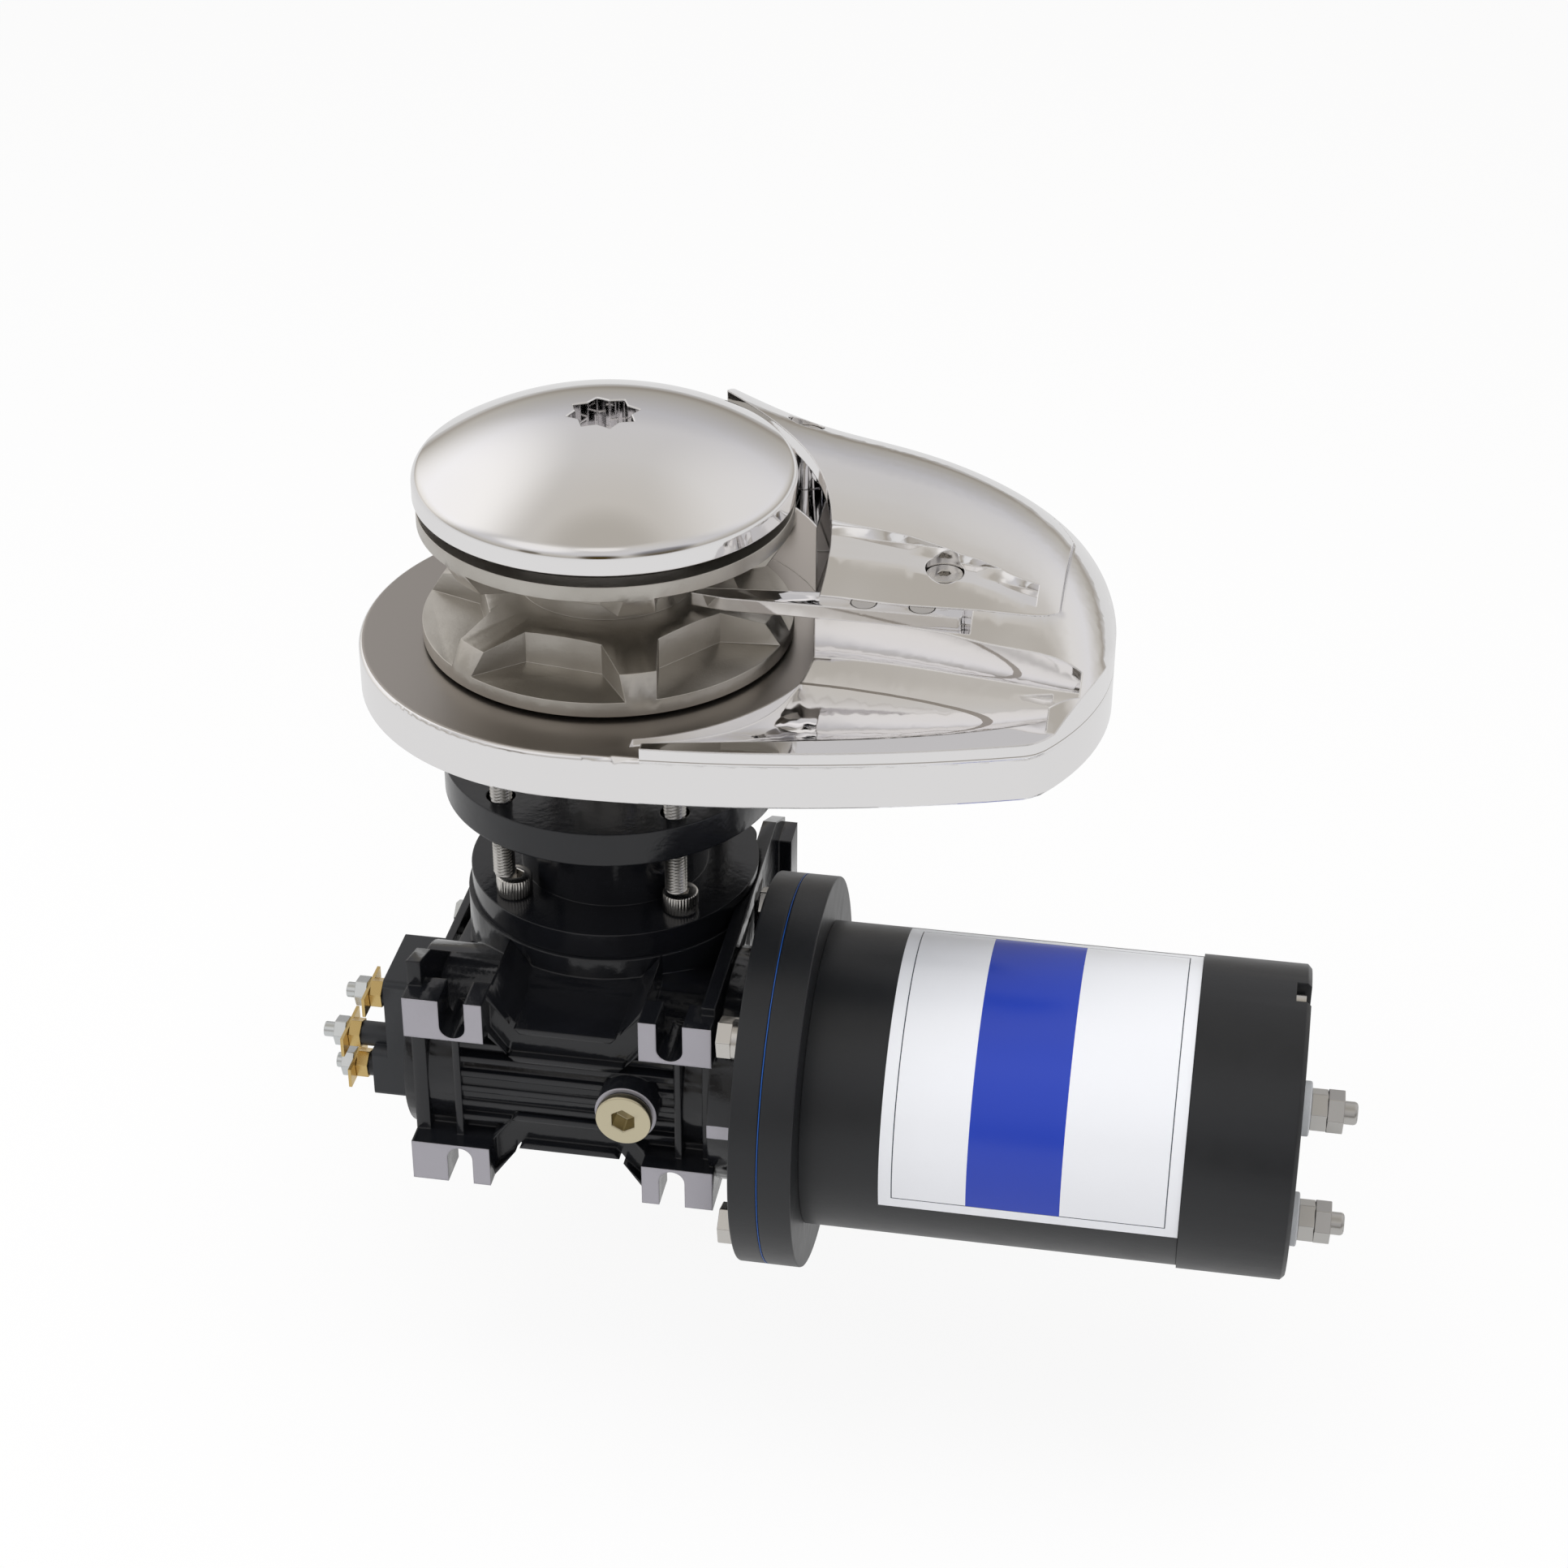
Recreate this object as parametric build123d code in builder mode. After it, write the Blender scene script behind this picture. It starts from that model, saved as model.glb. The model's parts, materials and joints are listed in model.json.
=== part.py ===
"""Vertical anchor windlass: chain wheel, clutch and chain cover above the deck, worm gearbox and motor below it.

Millimetres. The origin is on the chain wheel's axis, in the underside of the deck plate.
+Z is up, +X runs from the chain wheel to the bow end of the deck plate, and the motor lies along +X too.
"""

import os
from math import asin, atan2, cos, degrees, radians, sin, sqrt

from build123d import *

# Fits and clearances
RUN = 0.05  # radial play of a shaft in a bore
GAP = 0.3  # distance between faces of pieces that move past each other
SEAT = 0.02  # distance between faces that are bolted together

# Deck plate
PLATE_R = 87.5
PLATE_T = 16.7
SIDE_R = 470.0  # long sides of the plate are shallow arcs
NOSE_X = 177.0
NOSE_R = 100.0
NOSE_CORNER_R = 16.0
RIM_ROUND = 2.0
LIP_Z = 21.0  # top of the raised edge along the chain channel
LIP_START_X = 29.0
WELL_R = 77.5  # round space that the chain wheel turns in
SPLIT_Z = 43.0  # the chain cover sits on the plate's walls at this height
SPLIT_X = 158.0  # the chain cover ends here, against the nose
RIDGE_Y = -17.0  # face of the ridge beside the chain, at the edge of the well
RIDGE_END_Y = -27.0  # the same face at the nose
RIDGE_T = 11.0
COVER_GAP = 0.6

# Chain pipe opening under the cover
PIPE_X = 113.0
PIPE_Y = 33.0
PIPE_LENGTH = 52.0
PIPE_WIDTH = 40.0
PIPE_CORNER_R = 12.0
BACK_WALL_T = 12.0
NOSE_WALL_X = 147.0

# Crown of the cover and nose: station x, y of the ridge line, its height, radius across
CROWN = (
    (10.0, 52.0, 79.0, 90.0),
    (60.0, 47.5, 69.3, 84.0),
    (104.0, 42.0, 63.0, 80.0),
    (129.0, 35.0, 57.5, 82.0),
    (148.0, 24.0, 51.5, 86.0),
    (162.0, 12.0, 44.5, 90.0),
    (172.0, 4.0, 35.0, 92.0),
    (179.0, 0.0, 22.0, 94.0),
)
CROWN_FRONT_Y = -62.0
CROWN_BASE_Z = -60.0
CROWN_BACK_Y = 105.0
COVER_T = 5.5
COVER_ROOM_Y = 21.0  # the cover is hollow behind this line

# Step along the front of the cover: station x, back y, back z, edge y, edge z, foot y
STEP = (
    (66.0, 15.0, 56.5, -1.5, 51.5, -15.5),
    (104.0, 10.5, 53.5, -7.5, 49.5, -17.5),
    (128.0, 6.0, 49.5, -11.5, 47.0, -19.0),
    (150.0, 0.0, 45.0, -17.0, 44.2, -20.5),
)
STEP_FOOT_Z = 44.2
STEP_TOP_Z = 120.0

# Chain channel: station x, lip y, floor y, floor z, crease y, crease z
CHANNEL = (
    (24.0, -84.0, -66.0, 11.0, -30.0, 18.0),
    (77.0, -73.0, -46.0, 12.5, -17.5, 22.0),
    (127.0, -59.5, -42.0, 15.5, -22.7, 23.0),
    (168.0, -39.5, -35.0, 21.5, -30.0, 24.0),
)

CHANNEL_TOP_Z = 120.0

# Screws that hold the cover
COVER_SCREW_R = 3.0
COVER_HEAD_R = 6.4
COVER_HEAD_T = 3.6
COVER_HEX = 4.0
SLACK = 0.4  # play of a screw in its clearance hole
COVER_SCREW_A = (57.3, 75.6)
COVER_SCREW_B = (117.5, 1.0)
COVER_SEAT_A = 58.0  # height under the head
COVER_SEAT_B = 45.0
COVER_POST_R = 9.0
COVER_THREAD_DEPTH = 14.0

# Chain stripper
STRIPPER_TIP_X = 33.0
STRIPPER_END_X = 126.0
STRIPPER_T = 5.0
STRIPPER_Z = 38.0
STRIPPER_NOTCH = 3.0  # open end of the slot behind the bar
STRIPPER_HEAD_T = 2.5
STRIPPER_SCREW_Z = 27.0
STRIPPER_FRONT_Y = -19.5
STRIPPER_W = 10.0
STRIPPER_SCREW_R = 2.5
STRIPPER_SCREW_X = (92.0, 112.0)
STRIPPER_HEAD_R = 4.2

# Shaft and clutch
SHAFT_R = 12.5
SHAFT_THREAD_R = 10.0
SHAFT_TOP_Z = 82.0
SHAFT_SHOULDER_Z = 66.0
SHAFT_BOTTOM_Z = -181.0
CLIP_Z = -178.0
CLIP_T = 1.5
CLIP_R = 16.5
CLIP_ROOT_R = 11.6
BUSH_R = 16.0
SEAL_T = 5.5
WASHER_R = 24.0
WASHER_T = 1.0
CONE_R = 44.0
CONE_SLOPE = 1.2  # change of radius for each mm of height
CONE_H = 10.0
CONE_RIM = 1.5
CAP_R = 66.0
CAP_RIM_Z = 73.0
CAP_RIM_T = 2.6
CAP_TOP_Z = 99.9
CAP_CROWN_R = 119.0
CAP_EDGE_R = 6.0  # rounding between the crown and the rim
CAP_HUB_R = 30.0
CAP_HUB_Z = 68.6
CAP_BORE_SPARE = 0.8
HANDLE_SQUARE = 17.75  # across the flats of each square of the eight-pointed socket
HANDLE_DEPTH = 16.0
KEY_W = 6.0
KEY_H = 3.0
KEYS = ((19.0, 27.0), (58.0, 65.5), (-142.0, -116.0))  # low and high end of each key

# Chain wheel
WHEEL_R = 65.0
WHEEL_BOTTOM_Z = 18.0
WHEEL_TOP_Z = 67.0
RIM_T = 5.5
CORE_R = 31.0
SLOT_W = 12.0  # groove for the links that stand on edge
POCKETS = 6
RIB_W = 10.5  # width of a rib where it meets the edge of its flange
RIB_ANGLE = -68.0
RIB_TIP_R = 60.0
RIB_TIP_DROP = 5.0
POCKET_WALL_R = 43.3  # flat wall at the inner end of a pocket
POCKET_WALL_W = 27.6

# Adaptor between deck plate and gearbox
ADAPTOR_TOP_Z = -31.4
ADAPTOR_FLANGE_R = 60.5
ADAPTOR_FLANGE_T = 12.6
ADAPTOR_FOOT_R = 52.6
ADAPTOR_FOOT_T = 9.8
ADAPTOR_FOOT_Z = -78.3
NECK_R = 34.0
NECK_BORE_R = 20.0
NECK_RIB_W = 12.0
NECK_RIB_T = 5.0
NECK_RIB_H = 14.0
DECK_STUD_R = 4.0
DECK_STUD_TAP_R = 3.6  # mean radius of the end that is screwed into the plate
DECK_STUD_MOUTH_R = 4.4  # counterbore that clears the full thread at the plate's underside
DECK_STUD_MOUTH_DEPTH = 1.0
DECK_STUD_X = 31.0
DECK_STUD_Y = 40.5
DECK_STUD_BOTTOM_Z = -64.0
DECK_STUD_DEPTH = 12.0
STUD_HOLE_R = 4.5
ADAPTOR_HOLE_R = 5.2
FOOT_SCREW_R = 4.0
FOOT_SCREW_AT = 30.4
FOOT_HEAD_R = 6.5
FOOT_HEAD_T = 8.0
FOOT_HEX = 6.0
FOOT_SCREW_DEPTH = 14.0

# Gearbox
CENTRES = 50.0  # distance between worm and wheel axes
WORM_Z = -129.0
HOUSING_TOP_Z = ADAPTOR_FOOT_Z - ADAPTOR_FOOT_T - SEAT
HOUSING_BOTTOM_Z = -168.0
DRUM_R = 54.0
DRUM_BOSS_X = 36.0
DRUM_BOSS_R = 10.0
DRUM_BOSS_H = 18.0
BARREL_R = 33.0
BARREL_END_X = -60.0
END_X = 53.2
PAD_END_X = 56.0
FRONT_Y = -92.0
SIDE_T = 5.0
SIDE_LEFT = ((-84.0, -75.0), (-70.0, -79.0), (-27.0, -110.0), (58.0, -116.0))  # y, z along the top edge
SIDE_RIGHT = ((-84.0, -82.0), (38.0, -82.0), (58.0, -92.0))
LUG_X = 58.0  # mounting lug at the back of the right side
LUG_Y = (44.0, 58.0)
LUG_Z = (-117.0, -94.0)
FOOT_MID_Z = -124.5
FOOT_HALF_H = 39.3
FOOT_H = 16.2
FOOT_INNER_X = 27.6
FOOT_DEPTH = 14.0
SLOT_X = 38.5
SLOT_Z = 28.8  # centre of each slot's round end, from the middle of the feet
SLOT_R = 4.6
SLOT_FIT_LENGTH = 21.0
WEB_T = 5.0
WEB_Y = -85.4
WEB_X = 18.5
WEB_OUTER = 26.3
WEB_INNER = 11.9
WEB_END = 21.5
WEB_RIM = 2.2
WEB_RECESS = 3.5
FLANGE_RIB_X = 38.5
FIN_T = 2.4
FIN_Y = -84.0
FIN_STEP = 6.4
FIN_COUNT = 6
CHAMBER_R = 46.5
CHAMBER_H = 32.0
TUNNEL_R = 16.5
OIL_SEAL_R = 28.0

# Gear pieces
GEAR_R = 43.0
GEAR_W = 26.0
GEAR_HUB_R = 20.0
GEAR_TEETH = 40
TOOTH_ROOT_R = 34.5
TOOTH_GAP = 3.0
WORM_R = 12.0
WORM_LENGTH = 54.0
WORM_PITCH = 6.3
WORM_JOURNAL_R = 10.0
WORM_GROOVE = 3.0
THREAD_EDGES = (1.0, 2.2, 4.0, 5.2)  # start, floor, end of floor and end of each groove of the thread
WORM_END_X = 53.0
WORM_MOUTH_X = 58.0
BIG_BEARING_R = 34.0
BIG_BEARING_T = 15.0
LOW_BEARING_Z = -161.0
TOP_BEARING_Z = -112.0
HUB_BOTTOM_Z = -176.0
HUB_TOP_Z = -89.5
SMALL_BEARING_R = 23.5
SMALL_BEARING_T = 14.0
SMALL_BEARING_X = 38.0
END_CAP_T = 6.0
END_CAP_R = 29.0
COVER_PLATE_R = 48.5
COVER_TOP_Z = -162.5
COVER_BOSS_R = 45.0
COVER_BOLT_R = 2.5
COVER_BOLT_DEPTH = 12.0
COVER_WASHER_R = 4.5

# Oil plug
PLUG_X = 22.5
PLUG_Z = -125.0
PLUG_R = 10.0
PLUG_T = 3.0
PLUG_WASHER_T = 1.2
PLUG_BOSS_R = 11.0
PLUG_THREAD_R = 6.5
PLUG_DEPTH = 14.0
PLUG_HEX = 8.0

# Motor
FLANGE_R = 70.0
FLANGE_X = 63.6
FLANGE_SPLIT_X = 73.9
FLANGE_END_X = 85.5
FLANGE_PCD = 115.0
FLANGE_BOLT_R = 4.0
FLANGE_NECK_R = 42.0
BOLT_HEAD_X = 55.6
BOLT_HEAD_T = 5.4
BOLT_HEX = 13.0
BOLT_WASHER_R = 7.4
SEALANT_T = 0.3
FLANGE_SCREW_R = 3.0
FLANGE_SCREW_X = 54.5
FLANGE_SCREW_SEAT = 4.0
FLANGE_SCREW_HEAD_R = 5.0
SHIELD_BORE_R = 11.0
SHIELD_SPIGOT_X = 92.0
FRONT_BEARING_X = 79.0
REAR_BEARING_X = 235.0
CAN_R = 54.3
CAN_T = 5.0
CAN_END_X = 216.7
CAP_STEP = 1.0  # the end cap stands out this far beyond the can
CAP_MOTOR_END_X = 254.2
CAP_CHAMFER = 1.5
CAP_WALL_T = 5.3
CAP_WALL_X = 247.5
CAP_SCREW_R = 2.5
CAP_SCREW_HEAD_R = 4.2
CAP_SCREW_HEAD_T = 3.5
CAP_NOTCH_X = 249.0
CAP_NOTCH_DEPTH = 6.3
CAP_NOTCH_REACH = 20.0
CAP_NOTCH_W = 11.0
AIR_GAP = 0.78
ARMATURE_X = (106.0, 190.0)
ARMATURE_SLOTS = 12
ARMATURE_SLOT_W = 3.0
WINDING_X = (95.0, 196.0)
WINDING_DROP = 7.5
MAGNET_T = 6.0
MAGNET_SPACE = 16.0  # gap between neighbouring magnets
MOTOR_SHAFT_R = 8.5
MOTOR_SHAFT_END_X = 247.0
MOTOR_TAIL_R = 6.0
MOTOR_TAIL_X = -12.0
MOTOR_KEY_X = (38.0, 52.0)
MOTOR_KEY_H = 1.5
TAIL_SHOULDER_X = 60.0
COMMUTATOR_R = 19.0
COMMUTATOR_X = (197.0, 219.0)
MOTOR_BEARING_R = 20.0
MOTOR_BEARING_T = 12.0
BRUSH_W = 9.0
BRUSH_R = (19.05, 38.0)
BRUSH_X = (202.0, 212.0)
LABEL_X = (113.5, 216.5)
LABEL_T = 0.25
LABEL_GAP = 0.08
LABEL_FROM = -16.0
LABEL_TO = 116.0

# Motor terminals
TERMINAL_R = 34.0
TERMINAL_ANGLE = 45.0
TERMINAL_STUD_R = 4.0
TERMINAL_HEAD_T = 4.0
TERMINAL_NUT_W = 13.0
TERMINAL_NUT_T = 5.6
TERMINAL_END_X = 273.0
INSULATOR_R = 9.5
INSULATOR_SLEEVE_R = 6.5
INSULATOR_X = 252.5
INSULATOR_T = 4.6

# Contactor on the blind end of the gearbox
BRACKET_X = (-64.0, -61.0)
BRACKET_Y = (-28.0, 34.0)
BRACKET_Z = (-168.0, -117.0)
BRACKET_SCREW_Y = 22.0
BRACKET_SCREW_Z = (-127.0, -152.0)
BRACKET_SCREW_R = 3.0
BRACKET_BOSS_R = 8.0
BRACKET_DEPTH = 15.0
BOX_X = -89.2
BOX_STEP_X = -83.0
BOX_STEP_Z = -157.5
BOX_Y = (-30.0, 4.0)
BOX_Z = (-178.0, -125.0)
BOX_STUDS = (  # y, z, face that the brass nut sits on, end of the stud
    (-20.0, -137.0, -85.5, -99.8),
    (-20.0, -156.5, -95.0, -110.0),
    (-20.0, -170.5, -93.0, -106.0),
)
BOX_BOSS_R = 4.7
BOX_STUD_R = 2.9
BOX_THREAD_X = -74.0
BOX_NUT_W = 10.0
BOX_NUT_T = 4.6
BOX_SCREWS = ((-4.0, -162.0), (-4.0, -131.0))
BOX_SCREW_R = 2.0
BOX_SCREW_HEAD_R = 3.8
BOX_SCREW_X = -80.0
TAB_T = 1.2
TAB_W = 8.0
TAB_BACK = 11.0

# Places worked out from the sizes above
WORM_LINE = Axis((0, -CENTRES, WORM_Z), (1, 0, 0))
WORM_PLANE = Plane((0, -CENTRES, WORM_Z), x_dir=(0, 1, 0), z_dir=(1, 0, 0))
STRIPPER_TOP_Z = STRIPPER_Z + STRIPPER_T
STRIPPER_MID_Y = STRIPPER_FRONT_Y + STRIPPER_W / 2
DECK_STUDS = [(x, y) for x in (-DECK_STUD_X, DECK_STUD_X) for y in (-DECK_STUD_Y, DECK_STUD_Y)]
FOOT_SCREWS = [(x, y) for x in (-FOOT_SCREW_AT, FOOT_SCREW_AT) for y in (-FOOT_SCREW_AT, FOOT_SCREW_AT)]
COVER_BOLTS = [((DRUM_R + COVER_PLATE_R) / 2 * cos(a), (DRUM_R + COVER_PLATE_R) / 2 * sin(a))
               for a in [radians(30 + 60 * k) for k in range(6)]]


def around_motor(radius, *angles):
    """(y, z) places on a circle about the motor's axis; angle 0 faces -Y and 90 faces up."""
    return [(-CENTRES - radius * cos(radians(a)), WORM_Z + radius * sin(radians(a))) for a in angles]


CAP_MOTOR_R = CAN_R + CAP_STEP
CAP_BORE_R = CAP_MOTOR_R - CAP_WALL_T
CAP_NOTCH_R = CAP_MOTOR_R - CAP_NOTCH_DEPTH
ARMATURE_R = CAN_R - CAN_T - SEAT - MAGNET_T - AIR_GAP
WINDING_R = ARMATURE_R - WINDING_DROP
FLANGE_BOLTS = around_motor(FLANGE_PCD / 2, 45, 135, 225, 315)
FLANGE_SCREW_AT = around_motor(FLANGE_NECK_R - 8, 0, 90, 180, 270)
TERMINALS = around_motor(TERMINAL_R, TERMINAL_ANGLE, -TERMINAL_ANGLE)
CAP_SCREWS = around_motor(CAP_NOTCH_R, 90, 210)
HALF_WHEEL = (WHEEL_TOP_Z - WHEEL_BOTTOM_Z) / 2
LINK_Z = HALF_WHEEL - SLOT_W / 2  # top of the lower ribs, from the bottom of the wheel
FAR = 400.0

os.makedirs("parts", exist_ok=True)


def save(piece, name):
    """Label a finished piece and write it as one file."""
    piece.label = name
    export_step(piece, f"parts/{name}.step")


def face(plane, *points):
    """A flat face inside a closed row of points of the plane."""
    with BuildSketch(plane) as flat:
        with BuildLine():
            Polyline(*points, close=True)
        make_face()
    return flat.sketch


def turned(*points):
    """A solid of revolution about the chain wheel's axis, from (radius, z) points."""
    with BuildPart() as piece:
        revolve(face(Plane.XZ, *points), axis=Axis.Z)
    return piece.part


def spun(*points):
    """A solid of revolution about the worm's axis, from (x, radius) points."""
    shifted = [(x, WORM_Z + r) for x, r in points]
    with BuildPart() as piece:
        revolve(face(Plane.XZ.offset(CENTRES), *shifted), axis=WORM_LINE)
    return piece.part


def tube_z(outer, inner, low, high):
    """A plain ring about the chain wheel's axis."""
    return turned((inner, low), (outer, low), (outer, high), (inner, high))


def tube_x(outer, inner, low, high):
    """A plain ring about the worm's axis."""
    return spun((low, inner), (low, outer), (high, outer), (high, inner))


def rod(start, end, radius):
    """A round bar between two points."""
    line = Vector(*end) - Vector(*start)
    with BuildPart() as bar:
        with BuildSketch(Plane(start, z_dir=line)):
            Circle(radius)
        extrude(amount=line.length)
    return bar.part


def nut(start, end, across_flats, bore=0.0, turn=0.0):
    """A hexagon nut or bolt head between two points."""
    line = Vector(*end) - Vector(*start)
    with BuildPart() as hexagon:
        with BuildSketch(Plane(start, z_dir=line)):
            RegularPolygon(across_flats / 2, 6, major_radius=False, rotation=turn)
            if bore:
                Circle(bore, mode=Mode.SUBTRACT)
        extrude(amount=line.length)
    return hexagon.part


def block(x, y, z):
    """A box given by its low and high value along each axis."""
    with BuildPart() as solid:
        with Locations(((x[0] + x[1]) / 2, (y[0] + y[1]) / 2, (z[0] + z[1]) / 2)):
            Box(x[1] - x[0], y[1] - y[0], z[1] - z[0])
    return solid.part


def side_y(x):
    """How far the plate's long side stands from its middle line at x."""
    return PLATE_R - (SIDE_R - sqrt(SIDE_R**2 - x**2))


def nose_reach():
    """x and y where the plate's long side meets the arc of the nose."""
    x = NOSE_X
    for _ in range(40):
        x = NOSE_X - (NOSE_R - sqrt(NOSE_R**2 - side_y(x) ** 2))
    return x, side_y(x)


def plate_outline(inset=0.0):
    """The deck plate's outline seen from above: a round end, two shallow sides and a curved nose."""
    corner_x, corner_y = nose_reach()
    middle = corner_x / 2
    with BuildSketch() as outline:
        with BuildLine():
            ThreePointArc((0, PLATE_R), (-PLATE_R, 0), (0, -PLATE_R))
            ThreePointArc((0, -PLATE_R), (middle, -side_y(middle)), (corner_x, -corner_y))
            ThreePointArc((corner_x, -corner_y), (NOSE_X, 0), (corner_x, corner_y))
            ThreePointArc((corner_x, corner_y), (middle, side_y(middle)), (0, PLATE_R))
        make_face()
        corners = outline.vertices().filter_by(lambda v: v.X > corner_x - 1)
        fillet(corners, NOSE_CORNER_R)
        if inset:
            offset(amount=-inset, mode=Mode.REPLACE)
    return outline.sketch


def prism(low, high, inset=0.0):
    """The plate's outline as a block between two heights."""
    with BuildPart() as solid:
        with BuildSketch(Plane.XY.offset(low)):
            add(plate_outline(inset))
        extrude(amount=high - low)
    return solid.part


def crown(drop=0.0):
    """The arched form that the cover and the nose are cut from, lowered by drop."""
    with BuildPart() as form:
        for x, top_y, top_z, radius in CROWN:
            high = top_z - drop
            front_z = high - (CROWN_FRONT_Y - top_y) ** 2 / (2 * radius)
            back_z = high - (CROWN_BACK_Y - top_y) ** 2 / (2 * radius)
            half = (CROWN_BACK_Y - CROWN_FRONT_Y) / 2
            middle = (CROWN_FRONT_Y + half, front_z + half * (top_y - CROWN_FRONT_Y) / radius)
            with BuildSketch(Plane.YZ.offset(x)):
                with BuildLine():
                    Bezier((CROWN_FRONT_Y, front_z), middle, (CROWN_BACK_Y, back_z))
                    Polyline((CROWN_BACK_Y, back_z), (CROWN_BACK_Y, CROWN_BASE_Z), (CROWN_FRONT_Y, CROWN_BASE_Z),
                             (CROWN_FRONT_Y, front_z))
                make_face()
        loft()
    return form.part


def well(low, high, radius=WELL_R):
    """The round space about the chain wheel's axis."""
    with BuildPart() as space:
        with BuildSketch(Plane.XY.offset(low)):
            Circle(radius)
        extrude(amount=high - low)
    return space.part


def channel():
    """The trough along the plate's front edge that the chain runs in, with all the room above it."""
    with BuildPart() as trough:
        for x, lip_y, floor_y, floor_z, crease_y, crease_z in CHANNEL:
            with BuildSketch(Plane.YZ.offset(x)):
                with BuildLine():
                    Bezier((lip_y, LIP_Z), (floor_y, 2 * floor_z - (LIP_Z + crease_z) / 2), (crease_y, crease_z))
                    Polyline((crease_y, crease_z), (crease_y, CHANNEL_TOP_Z), (lip_y, CHANNEL_TOP_Z), (lip_y, LIP_Z))
                make_face()
        loft()
    return trough.part


def step():
    """What is cut off the front of the cover to leave its step and sloping front face."""
    with BuildPart() as cut:
        for x, back_y, back_z, edge_y, edge_z, foot_y in STEP:
            with BuildSketch(Plane.YZ.offset(x)):
                with BuildLine():
                    Polyline((back_y, STEP_TOP_Z), (back_y, back_z), (edge_y, edge_z), (foot_y, STEP_FOOT_Z),
                             (CROWN_FRONT_Y, STEP_FOOT_Z), (CROWN_FRONT_Y, STEP_TOP_Z), close=True)
                make_face()
        loft(ruled=True)
    return cut.part


def slab(low_x, high_x, low_y, high_y, low_z, high_z):
    """A plain block, used to keep or remove a region."""
    return block((low_x, high_x), (low_y, high_y), (low_z, high_z))


# Deck plate with its walls, ridge, nose and chain channel
with BuildPart() as deck_plate:
    add(prism(0, PLATE_T))
    top_edges = deck_plate.edges().group_by(Axis.Z)[-1].filter_by(lambda e: e.center().X < LIP_START_X)
    fillet(top_edges, RIM_ROUND)
    raised = crown() & prism(0, FAR)
    walls = raised & slab(LIP_START_X, SPLIT_X + COVER_GAP, RIDGE_END_Y - 3, FAR, PLATE_T - 1, SPLIT_Z)
    nose = raised & slab(SPLIT_X + COVER_GAP, FAR, -FAR, FAR, PLATE_T - 1, FAR)
    room = prism(PLATE_T, FAR, BACK_WALL_T)
    room = room & slab(WELL_R - 10, NOSE_WALL_X, RIDGE_Y + RIDGE_T, FAR, PLATE_T, FAR)
    edge = prism(PLATE_T - 1, LIP_Z) & slab(LIP_START_X, FAR, -FAR, 0, PLATE_T - 1, LIP_Z)
    add((walls + nose) - room - well(PLATE_T, FAR))
    add(edge - well(PLATE_T, FAR))
    add(channel() - well(-10, FAR), mode=Mode.SUBTRACT)
    with Locations((COVER_SCREW_B[0], COVER_SCREW_B[1], (PLATE_T + SPLIT_Z) / 2)):
        Cylinder(COVER_POST_R, SPLIT_Z - PLATE_T)
    add(slab(WELL_R - 20, STRIPPER_END_X + STRIPPER_NOTCH, -FAR / 8, STRIPPER_FRONT_Y + STRIPPER_W + SEAT,
             STRIPPER_Z, SPLIT_Z + 1), mode=Mode.SUBTRACT)
    with BuildSketch(Plane.XY):
        Circle(BUSH_R + SEAT)
        with Locations((PIPE_X, PIPE_Y)):
            RectangleRounded(PIPE_LENGTH, PIPE_WIDTH, PIPE_CORNER_R)
    extrude(amount=PLATE_T + 1, mode=Mode.SUBTRACT)
    with Locations(*[(x, y, DECK_STUD_DEPTH / 2) for x, y in DECK_STUDS]):
        Cylinder(DECK_STUD_TAP_R + SEAT, DECK_STUD_DEPTH + 0.001, mode=Mode.SUBTRACT)
    with Locations(*[(x, y, DECK_STUD_MOUTH_DEPTH / 2) for x, y in DECK_STUDS]):
        Cylinder(DECK_STUD_MOUTH_R, DECK_STUD_MOUTH_DEPTH, mode=Mode.SUBTRACT)
    for x, y in (COVER_SCREW_A, COVER_SCREW_B):
        add(rod((x, y, SPLIT_Z + 1), (x, y, SPLIT_Z - COVER_THREAD_DEPTH), COVER_SCREW_R + SEAT),
            mode=Mode.SUBTRACT)
    for x in STRIPPER_SCREW_X:
        add(rod((x, STRIPPER_MID_Y, STRIPPER_Z + 1), (x, STRIPPER_MID_Y, STRIPPER_SCREW_Z - SEAT),
                STRIPPER_SCREW_R + SEAT), mode=Mode.SUBTRACT)
save(deck_plate.part, "deck_plate")

# Chain cover bolted on the walls of the deck plate
with BuildPart() as chain_cover:
    outer = raised & slab(LIP_START_X, SPLIT_X, STEP[-1][5] - 1, FAR, SPLIT_Z + SEAT, FAR)
    hollow = crown(COVER_T) & prism(0, FAR, COVER_T)
    hollow = hollow & slab(WELL_R - 20, NOSE_WALL_X, COVER_ROOM_Y, FAR, 0, FAR)
    add(outer - (hollow - rod((*COVER_SCREW_A, 0), (*COVER_SCREW_A, FAR), COVER_POST_R)))
    add(well(0, FAR), mode=Mode.SUBTRACT)
    add(step(), mode=Mode.SUBTRACT)
    for (x, y), seat_z in ((COVER_SCREW_A, COVER_SEAT_A), (COVER_SCREW_B, COVER_SEAT_B)):
        add(rod((x, y, 0), (x, y, FAR), COVER_SCREW_R + SLACK), mode=Mode.SUBTRACT)
        add(rod((x, y, seat_z), (x, y, FAR), COVER_HEAD_R + GAP), mode=Mode.SUBTRACT)
save(chain_cover.part, "chain_cover")

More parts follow.
